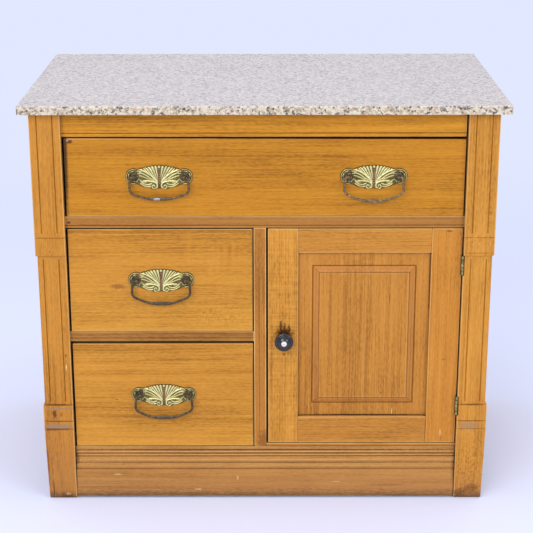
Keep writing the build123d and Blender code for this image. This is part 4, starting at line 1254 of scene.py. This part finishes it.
def add_attributes(piece, values):
    for name, numbers in values.items():
        layer = piece.data.attributes.new(name, "FLOAT", "POINT")
        layer.data.foreach_set("value", np.asarray(numbers, dtype=np.float32))


def finish_piece(piece, body, material, node=None):
    piece.data.materials.append(material)
    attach(piece, body)
    if node:
        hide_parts(node)


def make_pull(plate_node, bail_node, drawer, drop, plate_finish, post_finish, bail_finish):
    """A plate with its two posts on a drawer, and the bail that swings in them as a body."""
    low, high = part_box(bail_node)
    face_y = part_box(plate_node)[1].y
    pull_x = (low.x + high.x) / 2
    pivot_z = high.z - BAIL_WIRE_RADIUS * MM
    points, faces, values = PLATE
    plate = add_mesh(f"{plate_node}_stamped", seated(points, pull_x, pivot_z, face_y), faces)
    add_attributes(plate, values)
    finish_piece(plate, drawer, plate_finish, plate_node)
    for side, offset in (("left", -POST_OFFSET), ("right", POST_OFFSET)):
        points, faces = POST
        points = [(p[0] + offset, p[1], p[2]) for p in points]
        post = add_mesh(f"{plate_node}_post_{side}", seated(points, pull_x, pivot_z, face_y), faces)
        finish_piece(post, drawer, post_finish)
    points, faces = bail_mesh(drop)
    bail = add_mesh(f"{bail_node}_grip", seated(points, pull_x, pivot_z, face_y), faces)
    finish_piece(bail, bail_node, bail_finish, bail_node)


PLATE = plate_mesh()
POST = post_mesh()


# The door's knob, turned about an axis that runs out of the door

KNOB_PROFILE = (
    (7.0, -0.1), (11.3, 0.0), (11.5, 0.3), (11.5, 1.2), (10.8, 2.1), (9.6, 2.5), (7.6, 2.8),
    (7.0, 3.6), (6.8, 5.2), (7.0, 7.0), (8.0, 8.6), (10.6, 10.3), (13.2, 11.5), (14.8, 12.5),
    (15.4, 13.5), (15.5, 14.4), (15.2, 15.4), (14.5, 16.1), (13.4, 16.5), (11.8, 16.6),
    (11.0, 16.8), (10.6, 17.3), (10.5, 18.0), (10.2, 18.8), (9.4, 19.7), (8.2, 20.6),
    (6.9, 21.4), (5.9, 21.9), (5.3, 22.1), (4.9, 22.0), (4.85, 21.3),
)
EYE_PROFILE = (
    (4.9, 19.3), (4.85, 21.4), (4.5, 21.75), (3.6, 22.1), (2.4, 22.35), (1.2, 22.47), (0.2, 22.5),
)
KNOB_SIDES = 96


def make_knob():
    """The knob and its inlaid eye."""
    low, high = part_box("door_knob")
    centre = (low + high) / 2
    base_y = high.y
    for name, node, profile, slot, material in (
        ("door_knob_turned", "door_knob", KNOB_PROFILE, "knob_black", knob_black()),
        ("knob_eye_dome", "knob_eye", EYE_PROFILE, "eye_white", eye_white()),
    ):
        points, faces = turned([(r, h, 0.0) for r, h in profile], KNOB_SIDES)
        piece = add_mesh(name, seated(points, centre.x, centre.z, base_y), faces)
        finish_piece(piece, "knob", material, node)


make_camera()
make_stage()
make_light()

scene = bpy.context.scene
scene.view_settings.view_transform = "Standard"

for seed, (name, finish) in enumerate(BOARDS.items()):
    low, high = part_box(name)
    finish["spots"] = [mark(*spot) for spot in finish.get("spots", ())]
    dress(nodes[name], wood(name, seed=seed + 1, low=low, high=high, **finish))

dress(nodes["stone_top"], granite(), arris=STONE_ARRIS)
for height in ("upper", "lower"):
    hinge_finish = old_brass(f"hinge_brass_{height}", *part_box(f"hinge_leaf_post_{height}"))
    for part in ("door", "post"):
        dress(nodes[f"hinge_leaf_{part}_{height}"], hinge_finish, arris=0)
dress(nodes["latch_spindle"], steel(), arris=0)
plate_finish = plate_brass()
post_finish = dark_bronze("post_bronze", 1.15)
PULLS = (
    ("long_drawer_pull_plate_left", "long_drawer_bail_left", "long_drawer", BENT_BAIL_DROP, 1.5),
    ("long_drawer_pull_plate_right", "long_drawer_bail_right", "long_drawer", BAIL_DROP, 2.6),
    ("upper_drawer_pull_plate", "upper_drawer_bail", "upper_drawer", BAIL_DROP, 0.9),
    ("lower_drawer_pull_plate", "lower_drawer_bail", "lower_drawer", BAIL_DROP, 1.1),
)
for plate_node, bail_node, drawer, drop, tone in PULLS:
    worn = ()
    if drop == BENT_BAIL_DROP:
        low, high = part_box(bail_node)
        grip = ((low.x + high.x) / 2 - 3.5 * MM, high.z - (drop + BAIL_WIRE_RADIUS) * MM)
        worn = ((srgb(196, 194, 198), 0.75, grip, mm(5.5, 3.0), 0.9),)
    bail_finish = dark_bronze(bail_node, tone, worn)
    make_pull(plate_node, bail_node, drawer, drop, plate_finish, post_finish, bail_finish)
make_knob()
